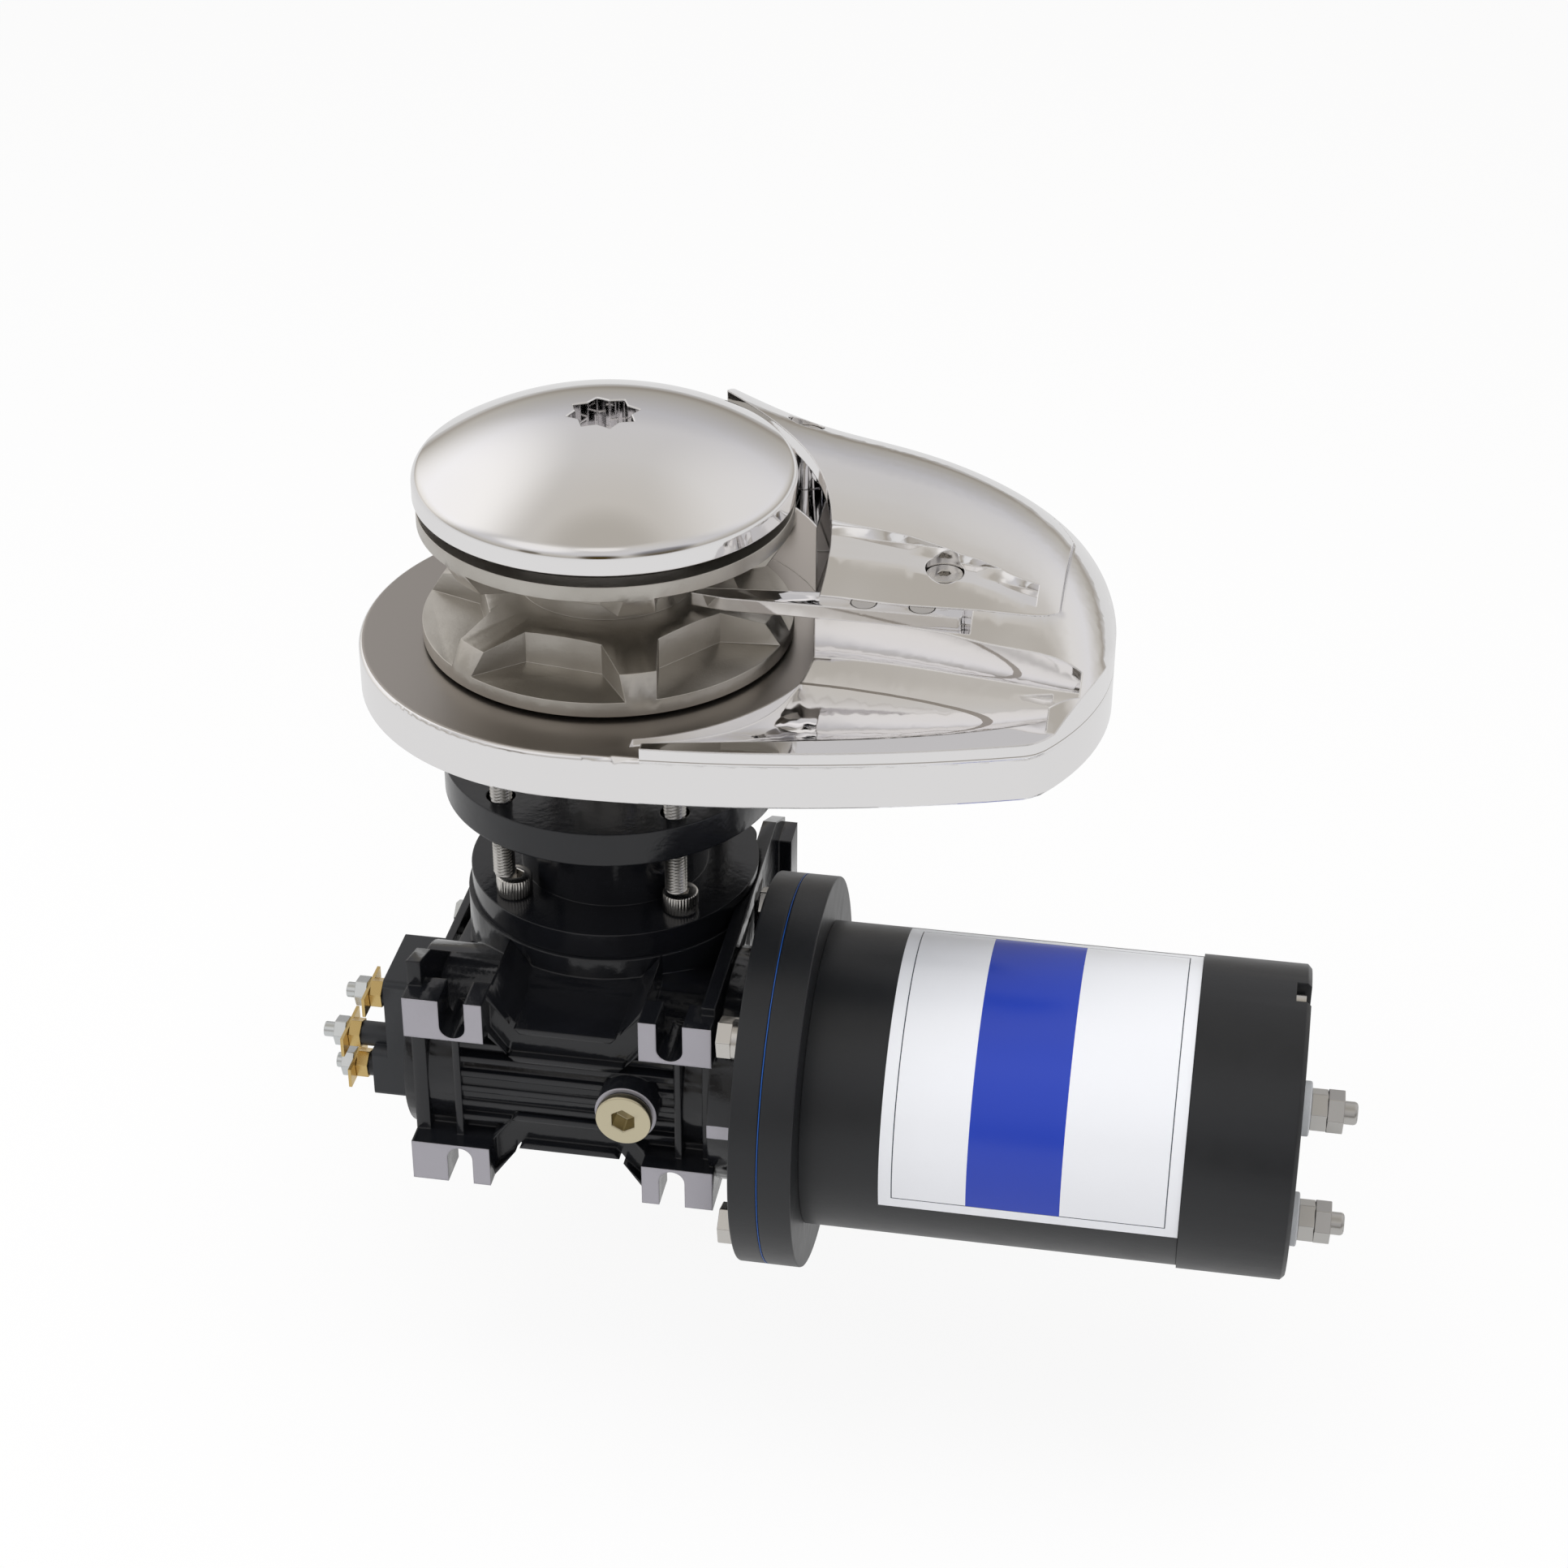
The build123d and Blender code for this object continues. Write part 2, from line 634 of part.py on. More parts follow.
with BuildPart() as cover_screws:
    for (x, y), seat_z in ((COVER_SCREW_A, COVER_SEAT_A), (COVER_SCREW_B, COVER_SEAT_B)):
        add(rod((x, y, SPLIT_Z - COVER_THREAD_DEPTH + SEAT), (x, y, seat_z + SEAT), COVER_SCREW_R))
        add(rod((x, y, seat_z + SEAT), (x, y, seat_z + COVER_HEAD_T), COVER_HEAD_R))
        add(nut((x, y, seat_z + COVER_HEAD_T / 3), (x, y, seat_z + COVER_HEAD_T + 1), COVER_HEX), mode=Mode.SUBTRACT)
save(cover_screws.part, "cover_screws")

# Chain stripper: a bar that reaches into the chain wheel's groove
with BuildPart() as chain_stripper:
    with BuildSketch(Plane.XY.offset(STRIPPER_Z + SEAT)):
        with BuildLine():
            Polyline((STRIPPER_TIP_X, STRIPPER_FRONT_Y + 2), (STRIPPER_TIP_X + 12, STRIPPER_FRONT_Y),
                     (STRIPPER_END_X, STRIPPER_FRONT_Y), (STRIPPER_END_X, STRIPPER_FRONT_Y + STRIPPER_W),
                     (WELL_R, STRIPPER_FRONT_Y + STRIPPER_W), (STRIPPER_TIP_X + 4, STRIPPER_FRONT_Y + 6), close=True)
        make_face()
    extrude(amount=STRIPPER_T - 2 * SEAT)
    fillet(chain_stripper.edges().filter_by(Axis.Z).group_by(Axis.X)[-1], 1.5)
    for x in STRIPPER_SCREW_X:
        add(rod((x, STRIPPER_MID_Y, 0), (x, STRIPPER_MID_Y, FAR), STRIPPER_SCREW_R + GAP), mode=Mode.SUBTRACT)
        add(rod((x, STRIPPER_MID_Y, STRIPPER_TOP_Z - STRIPPER_HEAD_T), (x, STRIPPER_MID_Y, FAR),
                STRIPPER_HEAD_R + GAP), mode=Mode.SUBTRACT)
save(chain_stripper.part, "chain_stripper")

with BuildPart() as stripper_screws:
    for x in STRIPPER_SCREW_X:
        head_z = STRIPPER_TOP_Z - STRIPPER_HEAD_T + SEAT
        add(rod((x, STRIPPER_MID_Y, STRIPPER_SCREW_Z), (x, STRIPPER_MID_Y, head_z), STRIPPER_SCREW_R))
        add(rod((x, STRIPPER_MID_Y, head_z), (x, STRIPPER_MID_Y, STRIPPER_TOP_Z - SEAT), STRIPPER_HEAD_R))
save(stripper_screws.part, "stripper_screws")

# Chain wheel: two ribbed flanges, one the mirror of the other, around a core with a groove
with BuildPart() as half_wheel:
    add(turned((SHAFT_R + RUN, CONE_H), (CONE_R - CONE_SLOPE * CONE_H, CONE_H), (CONE_R, 0), (WHEEL_R, 0),
               (WHEEL_R, RIM_T), (RIB_TIP_R, LINK_Z - RIB_TIP_DROP), (CORE_R + 8, LINK_Z), (CORE_R, LINK_Z),
               (CORE_R, HALF_WHEEL), (SHAFT_R + RUN, HALF_WHEEL)))
    with BuildSketch(Plane.XY.offset(RIM_T)):
        with PolarLocations(0, POCKETS, start_angle=RIB_ANGLE + 180 / POCKETS):
            corner = radians(180 / POCKETS) - asin(RIB_W / 2 / WHEEL_R)
            edge_x, edge_y = WHEEL_R * cos(corner), WHEEL_R * sin(corner)
            Polygon((POCKET_WALL_R, -POCKET_WALL_W / 2), (edge_x, -edge_y), (2 * WHEEL_R, -edge_y),
                    (2 * WHEEL_R, edge_y), (edge_x, edge_y), (POCKET_WALL_R, POCKET_WALL_W / 2), align=None)
    extrude(amount=LINK_Z, mode=Mode.SUBTRACT)
with BuildPart() as chain_wheel:
    add(half_wheel.part.moved(Location((0, 0, WHEEL_BOTTOM_Z))))
    add(half_wheel.part.mirror(Plane.XY).moved(Location((0, 0, WHEEL_TOP_Z))))
save(chain_wheel.part, "chain_wheel")


def clutch_cone(seat_z, direction, hub_z):
    """A clutch cone keyed to the shaft: its wide end at seat_z, its narrow end inside the chain wheel."""
    narrow_z = seat_z + direction * (CONE_H - GAP)
    narrow_r = CONE_R - GAP - CONE_SLOPE * (CONE_H - GAP)
    with BuildPart() as cone:
        add(turned((SHAFT_R + RUN, hub_z), (CONE_R - GAP, hub_z), (CONE_R - GAP, seat_z), (narrow_r, narrow_z),
                   (SHAFT_R + RUN, narrow_z)))
        add(slab(0, SHAFT_R + KEY_H / 2 + RUN, -KEY_W / 2 - RUN, KEY_W / 2 + RUN, -FAR, FAR), mode=Mode.SUBTRACT)
    return cone.part


LOWER_HUB_Z = PLATE_T + WASHER_T + SEAT
save(clutch_cone(WHEEL_BOTTOM_Z, 1, LOWER_HUB_Z + SEAT), "lower_clutch_cone")
save(clutch_cone(WHEEL_TOP_Z, -1, WHEEL_TOP_Z + CONE_RIM), "upper_clutch_cone")
save(tube_z(WASHER_R, SHAFT_R + RUN, PLATE_T + SEAT, PLATE_T + WASHER_T), "thrust_washer")

# Main shaft with its thread for the clutch cap and its keyways
with BuildPart() as main_shaft:
    add(turned((0, SHAFT_BOTTOM_Z), (SHAFT_R - 1, SHAFT_BOTTOM_Z), (SHAFT_R, SHAFT_BOTTOM_Z + 1),
               (SHAFT_R, CLIP_Z), (CLIP_ROOT_R, CLIP_Z), (CLIP_ROOT_R, CLIP_Z + CLIP_T + 2 * SEAT),
               (SHAFT_R, CLIP_Z + CLIP_T + 2 * SEAT), (SHAFT_R, SHAFT_SHOULDER_Z),
               (SHAFT_THREAD_R, SHAFT_SHOULDER_Z), (SHAFT_THREAD_R, SHAFT_TOP_Z - 1.5),
               (SHAFT_THREAD_R - 1.5, SHAFT_TOP_Z), (0, SHAFT_TOP_Z)))
    for low, high in KEYS:
        add(slab(SHAFT_R - KEY_H / 2 - SEAT, FAR, -KEY_W / 2 - SEAT, KEY_W / 2 + SEAT, low - SEAT, high + SEAT),
            mode=Mode.SUBTRACT)
save(main_shaft.part, "main_shaft")

with BuildPart() as shaft_keys:
    for low, high in KEYS:
        add(slab(SHAFT_R - KEY_H / 2, SHAFT_R + KEY_H / 2, -KEY_W / 2, KEY_W / 2, low, high))
save(shaft_keys.part, "shaft_keys")

save(tube_z(BUSH_R, SHAFT_R + RUN, 0, PLATE_T - SEAL_T - SEAT), "shaft_bush")
save(tube_z(BUSH_R, SHAFT_R + RUN, PLATE_T - SEAL_T, PLATE_T), "shaft_seal")
save(tube_z(CLIP_R, CLIP_ROOT_R + SEAT, CLIP_Z + SEAT, CLIP_Z + CLIP_T + SEAT), "shaft_clip")

# Domed clutch cap with an eight-pointed socket for the handle
with BuildPart() as clutch_cap:
    crown_z = CAP_TOP_Z - CAP_CROWN_R
    between = CAP_CROWN_R - CAP_EDGE_R
    edge_z = crown_z + sqrt(between**2 - (CAP_R - CAP_EDGE_R) ** 2)
    touch = atan2(CAP_R - CAP_EDGE_R, edge_z - crown_z)
    bend = (touch + radians(90)) / 2
    with BuildSketch(Plane.XZ):
        with BuildLine():
            meeting = (CAP_CROWN_R * sin(touch), crown_z + CAP_CROWN_R * cos(touch))
            ThreePointArc((CAP_R, edge_z), (CAP_R - CAP_EDGE_R * (1 - sin(bend)), edge_z + CAP_EDGE_R * cos(bend)),
                          meeting)
            ThreePointArc(meeting, (CAP_CROWN_R * sin(touch / 2), crown_z + CAP_CROWN_R * cos(touch / 2)),
                          (0, CAP_TOP_Z))
            Polyline((0, CAP_TOP_Z), (0, CAP_HUB_Z), (CAP_HUB_R, CAP_HUB_Z), (CAP_HUB_R, CAP_RIM_Z),
                     (CAP_R - 6, CAP_RIM_Z - CAP_RIM_T + 0.6), (CAP_R - 1.5, CAP_RIM_Z - CAP_RIM_T),
                     (CAP_R, CAP_RIM_Z - 1.2), (CAP_R, edge_z))
        make_face()
    revolve(axis=Axis.Z)
    add(rod((0, 0, 0), (0, 0, SHAFT_TOP_Z + CAP_BORE_SPARE), SHAFT_THREAD_R + RUN), mode=Mode.SUBTRACT)
    with BuildSketch(Plane.XY.offset(CAP_TOP_Z - HANDLE_DEPTH)):
        Rectangle(HANDLE_SQUARE, HANDLE_SQUARE, rotation=22.5)
        Rectangle(HANDLE_SQUARE, HANDLE_SQUARE, rotation=67.5)
    extrude(amount=HANDLE_DEPTH + 1, mode=Mode.SUBTRACT)
save(clutch_cap.part, "clutch_cap")

# Studs that clamp the deck between the plate and the adaptor
with BuildPart() as deck_studs:
    for x, y in DECK_STUDS:
        add(rod((x, y, DECK_STUD_BOTTOM_Z), (x, y, 0), DECK_STUD_R))
        add(rod((x, y, 0), (x, y, DECK_STUD_DEPTH - SEAT), DECK_STUD_TAP_R))
save(deck_studs.part, "deck_studs")

# Adaptor: flange, neck and foot in one casting
with BuildPart() as adaptor:
    low = ADAPTOR_TOP_Z - ADAPTOR_FLANGE_T
    foot_low = ADAPTOR_FOOT_Z - ADAPTOR_FOOT_T
    add(turned((NECK_BORE_R, ADAPTOR_TOP_Z), (ADAPTOR_FLANGE_R, ADAPTOR_TOP_Z), (ADAPTOR_FLANGE_R, low), (NECK_R, low),
               (NECK_R, ADAPTOR_FOOT_Z), (ADAPTOR_FOOT_R, ADAPTOR_FOOT_Z), (ADAPTOR_FOOT_R, foot_low),
               (NECK_BORE_R, foot_low)))
    add(slab(-NECK_RIB_W / 2, NECK_RIB_W / 2, -NECK_R - NECK_RIB_T, -NECK_R + 5, low - NECK_RIB_H, low))
    add(slab(-NECK_RIB_W / 2, NECK_RIB_W / 2, NECK_R - 5, NECK_R + NECK_RIB_T, low - NECK_RIB_H, low))
    for x, y in DECK_STUDS:
        add(rod((x, y, low - 1), (x, y, ADAPTOR_TOP_Z + 1), ADAPTOR_HOLE_R), mode=Mode.SUBTRACT)
    for x, y in FOOT_SCREWS:
        add(rod((x, y, foot_low - 1), (x, y, ADAPTOR_FOOT_Z + 1), STUD_HOLE_R), mode=Mode.SUBTRACT)
save(adaptor.part, "adaptor")

with BuildPart() as adaptor_screws:
    for x, y in FOOT_SCREWS:
        add(rod((x, y, HOUSING_TOP_Z - FOOT_SCREW_DEPTH + SEAT), (x, y, ADAPTOR_FOOT_Z + SEAT), FOOT_SCREW_R))
        add(rod((x, y, ADAPTOR_FOOT_Z + SEAT), (x, y, ADAPTOR_FOOT_Z + FOOT_HEAD_T), FOOT_HEAD_R))
        add(nut((x, y, ADAPTOR_FOOT_Z + FOOT_HEAD_T / 2), (x, y, ADAPTOR_FOOT_Z + FOOT_HEAD_T + 1), FOOT_HEX),
            mode=Mode.SUBTRACT)
save(adaptor_screws.part, "adaptor_screws")


def hexagons(places, low_x, high_x, across_flats, bore=0.0, turn=0.0):
    """A row of nuts or bolt heads along X, at (y, z) places."""
    with BuildPart() as row:
        for y, z in places:
            add(nut((low_x, y, z), (high_x, y, z), across_flats, bore, turn))
    return row.part


def bars(places, low_x, high_x, radius):
    """Round bars along X, at (y, z) places."""
    with BuildPart() as row:
        for y, z in places:
            add(rod((low_x, y, z), (high_x, y, z), radius))
    return row.part


def slice_y(low_y, high_y, *points):
    """A plate square to Y with the outline given by (x, z) points."""
    with BuildPart() as plate:
        extrude(face(Plane.XZ.offset(-high_y), *points), amount=high_y - low_y)
    return plate.part


def foot_web(side, inset, low_y, high_y):
    """The web that joins the upper (side 1) or the lower (side -1) pair of feet."""
    tip = FOOT_HALF_H - inset
    points = ((-FOOT_INNER_X, tip), (-WEB_X + inset, WEB_OUTER - inset), (WEB_X - inset, WEB_OUTER - inset),
              (FOOT_INNER_X, tip), (FOOT_INNER_X, WEB_END + inset), (WEB_X + inset, WEB_INNER + inset),
              (-WEB_X - inset, WEB_INNER + inset), (-FOOT_INNER_X, WEB_END + inset))
    return slice_y(low_y, high_y, *[(x, FOOT_MID_Z + side * z) for x, z in points])


# Gearbox housing: drum around the worm wheel, barrel around the worm, four slotted feet on the front
with BuildPart() as gearbox_housing:
    add(rod((0, 0, HOUSING_BOTTOM_Z), (0, 0, HOUSING_TOP_Z), DRUM_R))
    add(rod((BARREL_END_X, -CENTRES, WORM_Z), (END_X, -CENTRES, WORM_Z), BARREL_R))
    add(rod((END_X - 2, -CENTRES, WORM_Z), (FLANGE_X - SEAT, -CENTRES, WORM_Z), FLANGE_NECK_R))
    for side in (-1, 1):
        add(foot_web(side, 0, WEB_Y, -CENTRES))
        pad_z = FOOT_MID_Z + side * (FOOT_HALF_H - FOOT_H / 2)
        for x0, x1 in ((-PAD_END_X, -FOOT_INNER_X), (FOOT_INNER_X, END_X)):
            add(slab(x0, x1, FRONT_Y, FRONT_Y + FOOT_DEPTH, pad_z - FOOT_H / 2, pad_z + FOOT_H / 2))
            add(slab(x0, x1, FRONT_Y + FOOT_DEPTH - 1, -CENTRES, pad_z - side * FOOT_H / 2 - WEB_T / 2,
                     pad_z - side * FOOT_H / 2 + WEB_T / 2))
    for x0, top in ((-PAD_END_X, SIDE_LEFT), (END_X - SIDE_T, SIDE_RIGHT)):
        bottom = ((top[-1][0], FOOT_MID_Z - FOOT_HALF_H), (top[0][0], FOOT_MID_Z - FOOT_HALF_H))
        extrude(face(Plane.YZ.offset(x0), *top, *bottom), amount=SIDE_T)
    add(slab(END_X - SIDE_T, LUG_X, *LUG_Y, *LUG_Z))
    for x0 in (-FLANGE_RIB_X - FIN_T, FLANGE_RIB_X):
        add(slab(x0, x0 + FIN_T, WEB_Y, -CENTRES, FOOT_MID_Z - FOOT_HALF_H + FOOT_H,
                 FOOT_MID_Z + FOOT_HALF_H - FOOT_H))
    for row in range(FIN_COUNT):
        z = FOOT_MID_Z + (row - (FIN_COUNT - 1) / 2) * FIN_STEP
        add(slab(-FLANGE_RIB_X, FLANGE_RIB_X, FIN_Y, -CENTRES, z - FIN_T / 2, z + FIN_T / 2))
    for x, z in [(x, z) for x in (-DRUM_BOSS_X, DRUM_BOSS_X) for z in (HOUSING_TOP_Z, HOUSING_BOTTOM_Z)]:
        low, high = sorted((z, z + (DRUM_BOSS_H if z < WORM_Z else -DRUM_BOSS_H)))
        add(rod((x, DRUM_BOSS_X, low), (x, DRUM_BOSS_X, high), DRUM_BOSS_R))
    for z in BRACKET_SCREW_Z:
        add(rod((BRACKET_X[1] + SEAT, BRACKET_SCREW_Y, z), (-DRUM_R + 14, BRACKET_SCREW_Y, z), BRACKET_BOSS_R))
    add(rod((PLUG_X, FRONT_Y + SEAT, PLUG_Z), (PLUG_X, -CENTRES, PLUG_Z), PLUG_BOSS_R))
    # Machined and cored openings
    add(tube_z(ADAPTOR_FOOT_R + GAP, 0, HOUSING_TOP_Z, ADAPTOR_FOOT_Z + 1), mode=Mode.SUBTRACT)
    add(tube_z(CHAMBER_R, 0, COVER_TOP_Z - SEAT, WORM_Z + CHAMBER_H / 2), mode=Mode.SUBTRACT)
    add(tube_z(COVER_PLATE_R + SEAT, 0, HOUSING_BOTTOM_Z - 1, COVER_TOP_Z + SEAT), mode=Mode.SUBTRACT)
    add(tube_z(BIG_BEARING_R + SEAT, 0, WORM_Z, TOP_BEARING_Z + BIG_BEARING_T + SEAT), mode=Mode.SUBTRACT)
    add(tube_z(OIL_SEAL_R + SEAT, 0, WORM_Z, HOUSING_TOP_Z + 1), mode=Mode.SUBTRACT)
    add(tube_x(TUNNEL_R, 0, -END_X, END_X), mode=Mode.SUBTRACT)
    add(tube_x(SMALL_BEARING_R + SEAT, 0, SMALL_BEARING_X - SEAT, FLANGE_X + 1), mode=Mode.SUBTRACT)
    add(tube_x(SMALL_BEARING_R + SEAT, 0, BARREL_END_X - 1, -SMALL_BEARING_X + SEAT), mode=Mode.SUBTRACT)
    add(tube_x(END_CAP_R + SEAT, 0, BARREL_END_X - 1, BARREL_END_X + END_CAP_T + SEAT), mode=Mode.SUBTRACT)
    for side in (-1, 1):
        add(foot_web(side, WEB_RIM, WEB_Y - 1, WEB_Y + WEB_RECESS), mode=Mode.SUBTRACT)
        for x in (-SLOT_X, SLOT_X):
            start = FOOT_MID_Z + side * SLOT_Z
            add(rod((x, FRONT_Y - 1, start), (x, -CENTRES - 20, start), SLOT_R), mode=Mode.SUBTRACT)
            low, high = sorted((start, start + side * SLOT_FIT_LENGTH))
            add(slab(x - SLOT_R, x + SLOT_R, FRONT_Y - 1, -CENTRES - 20, low, high), mode=Mode.SUBTRACT)
    for x, y in FOOT_SCREWS:
        add(rod((x, y, HOUSING_TOP_Z + 1), (x, y, HOUSING_TOP_Z - FOOT_SCREW_DEPTH), FOOT_SCREW_R + SEAT),
            mode=Mode.SUBTRACT)
    for x, y in COVER_BOLTS:
        add(rod((x, y, HOUSING_BOTTOM_Z - 1), (x, y, HOUSING_BOTTOM_Z + COVER_BOLT_DEPTH), COVER_BOLT_R + SEAT),
            mode=Mode.SUBTRACT)
    add(bars(FLANGE_SCREW_AT, FLANGE_SCREW_X - SEAT, FLANGE_X + 1, FLANGE_SCREW_R + SEAT), mode=Mode.SUBTRACT)
    for y, z in ((BRACKET_SCREW_Y, z) for z in BRACKET_SCREW_Z):
        add(rod((BRACKET_X[0], y, z), (BRACKET_X[1] + BRACKET_DEPTH, y, z), BRACKET_SCREW_R + SEAT), mode=Mode.SUBTRACT)
    add(rod((PLUG_X, FRONT_Y - 1, PLUG_Z), (PLUG_X, -CENTRES - TUNNEL_R + 2, PLUG_Z), PLUG_THREAD_R + SEAT),
        mode=Mode.SUBTRACT)
save(gearbox_housing.part, "gearbox_housing")

# Bottom cover with the seat of the lower wheel bearing
with BuildPart() as gearbox_cover:
    add(turned((BIG_BEARING_R + SEAT, LOW_BEARING_Z + BIG_BEARING_T), (COVER_BOSS_R, LOW_BEARING_Z + BIG_BEARING_T),
               (COVER_BOSS_R, COVER_TOP_Z), (COVER_PLATE_R, COVER_TOP_Z), (COVER_PLATE_R, HOUSING_BOTTOM_Z),
               (GEAR_HUB_R + GAP, HOUSING_BOTTOM_Z), (GEAR_HUB_R + GAP, LOW_BEARING_Z - SEAT),
               (BIG_BEARING_R + SEAT, LOW_BEARING_Z - SEAT)))
save(gearbox_cover.part, "gearbox_cover")

with BuildPart() as cover_clamps:
    for x, y in COVER_BOLTS:
        add(rod((x, y, HOUSING_BOTTOM_Z + COVER_BOLT_DEPTH - 1), (x, y, HOUSING_BOTTOM_Z - SEAT), COVER_BOLT_R))
        add(rod((x, y, HOUSING_BOTTOM_Z - SEAT), (x, y, HOUSING_BOTTOM_Z - 3), COVER_WASHER_R))
save(cover_clamps.part, "gearbox_cover_screws")

# Worm wheel: rim with a throat that clears the worm, forty teeth, hollow hub keyed to the main shaft
with BuildPart() as worm_wheel:
    half = GEAR_W / 2
    add(turned((SHAFT_R + SEAT, HUB_BOTTOM_Z), (GEAR_HUB_R, HUB_BOTTOM_Z), (GEAR_HUB_R, WORM_Z - half - 2),
               (GEAR_R - 3, WORM_Z - half), (GEAR_R, WORM_Z - half + 3), (GEAR_R, WORM_Z + half - 3),
               (GEAR_R - 3, WORM_Z + half), (GEAR_HUB_R, WORM_Z + half + 2), (GEAR_HUB_R, HUB_TOP_Z),
               (SHAFT_R + SEAT, HUB_TOP_Z)))
    with BuildSketch(Plane.XZ):
        with Locations((CENTRES, WORM_Z)):
            Circle(WORM_R + GAP)
    revolve(axis=Axis.Z, mode=Mode.SUBTRACT)
    with BuildSketch(Plane.XY.offset(WORM_Z - half - 1)):
        with PolarLocations((TOOTH_ROOT_R + GEAR_R) / 2 + 1, GEAR_TEETH):
            Rectangle(GEAR_R - TOOTH_ROOT_R + 2, TOOTH_GAP)
    extrude(amount=GEAR_W + 2, mode=Mode.SUBTRACT)
    low, high = KEYS[2]
    add(slab(0, SHAFT_R + KEY_H / 2 + SEAT, -KEY_W / 2 - SEAT, KEY_W / 2 + SEAT, low - SEAT, HUB_TOP_Z + 1),
        mode=Mode.SUBTRACT)
save(worm_wheel.part, "worm_wheel")

# Worm, hollow at the motor's end
with BuildPart() as worm:
    outline = [(-WORM_END_X, 0), (-WORM_END_X, WORM_JOURNAL_R), (-SMALL_BEARING_X + SEAT, WORM_JOURNAL_R),
               (-SMALL_BEARING_X + SEAT, WORM_R), (-WORM_LENGTH / 2, WORM_R)]
    for turn in range(int(WORM_LENGTH / WORM_PITCH)):
        x = -WORM_LENGTH / 2 + turn * WORM_PITCH
        depths = (0, WORM_GROOVE, WORM_GROOVE, 0)
        outline += [(x + edge, WORM_R - depth) for edge, depth in zip(THREAD_EDGES, depths)]
    outline += [(SMALL_BEARING_X - SEAT, WORM_R), (SMALL_BEARING_X - SEAT, WORM_JOURNAL_R),
                (WORM_MOUTH_X, WORM_JOURNAL_R), (WORM_MOUTH_X, 0)]
    add(spun(*outline))
    add(tube_x(MOTOR_TAIL_R + SEAT, 0, MOTOR_TAIL_X - 1, WORM_MOUTH_X + 1), mode=Mode.SUBTRACT)
    add(slab(MOTOR_KEY_X[0] - SEAT, WORM_MOUTH_X + 1, -CENTRES - 2 - SEAT, -CENTRES + 2 + SEAT, WORM_Z,
             WORM_Z + MOTOR_TAIL_R + MOTOR_KEY_H + SEAT), mode=Mode.SUBTRACT)
save(worm.part, "worm")

with BuildPart() as worm_bearings:
    add(tube_x(SMALL_BEARING_R, WORM_JOURNAL_R + RUN, SMALL_BEARING_X, SMALL_BEARING_X + SMALL_BEARING_T))
    add(tube_x(SMALL_BEARING_R, WORM_JOURNAL_R + RUN, -SMALL_BEARING_X - SMALL_BEARING_T, -SMALL_BEARING_X))
save(worm_bearings.part, "worm_bearings")

with BuildPart() as wheel_bearings:
    add(tube_z(BIG_BEARING_R, GEAR_HUB_R + RUN, LOW_BEARING_Z, LOW_BEARING_Z + BIG_BEARING_T))
    add(tube_z(BIG_BEARING_R, GEAR_HUB_R + RUN, TOP_BEARING_Z, TOP_BEARING_Z + BIG_BEARING_T))
save(wheel_bearings.part, "wheel_bearings")

save(tube_z(OIL_SEAL_R, GEAR_HUB_R + RUN, TOP_BEARING_Z + BIG_BEARING_T + 2 * SEAT, HOUSING_TOP_Z - 1), "oil_seal")
save(tube_x(END_CAP_R, 0, BARREL_END_X, BARREL_END_X + END_CAP_T), "worm_end_cap")

with BuildPart() as oil_plug:
    plug_y = FRONT_Y - PLUG_WASHER_T - SEAT
    add(rod((PLUG_X, plug_y - PLUG_T, PLUG_Z), (PLUG_X, plug_y, PLUG_Z), PLUG_R))
    add(rod((PLUG_X, plug_y, PLUG_Z), (PLUG_X, FRONT_Y + PLUG_DEPTH, PLUG_Z), PLUG_THREAD_R))
    fillet(oil_plug.edges().filter_by(GeomType.CIRCLE).group_by(Axis.Y)[0], 0.8)
    add(nut((PLUG_X, plug_y - PLUG_T - 1, PLUG_Z), (PLUG_X, plug_y + 4, PLUG_Z), PLUG_HEX), mode=Mode.SUBTRACT)
save(oil_plug.part, "oil_plug")

with BuildPart() as oil_plug_washer:
    add(rod((PLUG_X, FRONT_Y - PLUG_WASHER_T, PLUG_Z), (PLUG_X, FRONT_Y, PLUG_Z), PLUG_R - 0.6))
    add(rod((PLUG_X, FRONT_Y - 5, PLUG_Z), (PLUG_X, FRONT_Y + 5, PLUG_Z), PLUG_THREAD_R + SEAT), mode=Mode.SUBTRACT)
save(oil_plug_washer.part, "oil_plug_washer")

# Motor flange and the motor's front shield, bolted together through four holes
with BuildPart() as motor_flange:
    add(tube_x(FLANGE_R, SHIELD_BORE_R, FLANGE_X, FLANGE_SPLIT_X - SEALANT_T))
    add(bars(FLANGE_BOLTS, FLANGE_X - 1, FLANGE_SPLIT_X + 1, STUD_HOLE_R), mode=Mode.SUBTRACT)
    add(bars(FLANGE_SCREW_AT, FLANGE_X - 1, FLANGE_SPLIT_X + 1, FLANGE_SCREW_R + SEAT), mode=Mode.SUBTRACT)
    add(bars(FLANGE_SCREW_AT, FLANGE_X + FLANGE_SCREW_SEAT, FLANGE_SPLIT_X + 1, FLANGE_SCREW_HEAD_R + GAP),
        mode=Mode.SUBTRACT)
save(motor_flange.part, "motor_flange")

with BuildPart() as flange_screws:
    add(bars(FLANGE_SCREW_AT, FLANGE_SCREW_X, FLANGE_X + FLANGE_SCREW_SEAT + SEAT, FLANGE_SCREW_R))
    add(bars(FLANGE_SCREW_AT, FLANGE_X + FLANGE_SCREW_SEAT + SEAT, FLANGE_SPLIT_X - 1, FLANGE_SCREW_HEAD_R))
save(flange_screws.part, "flange_screws")

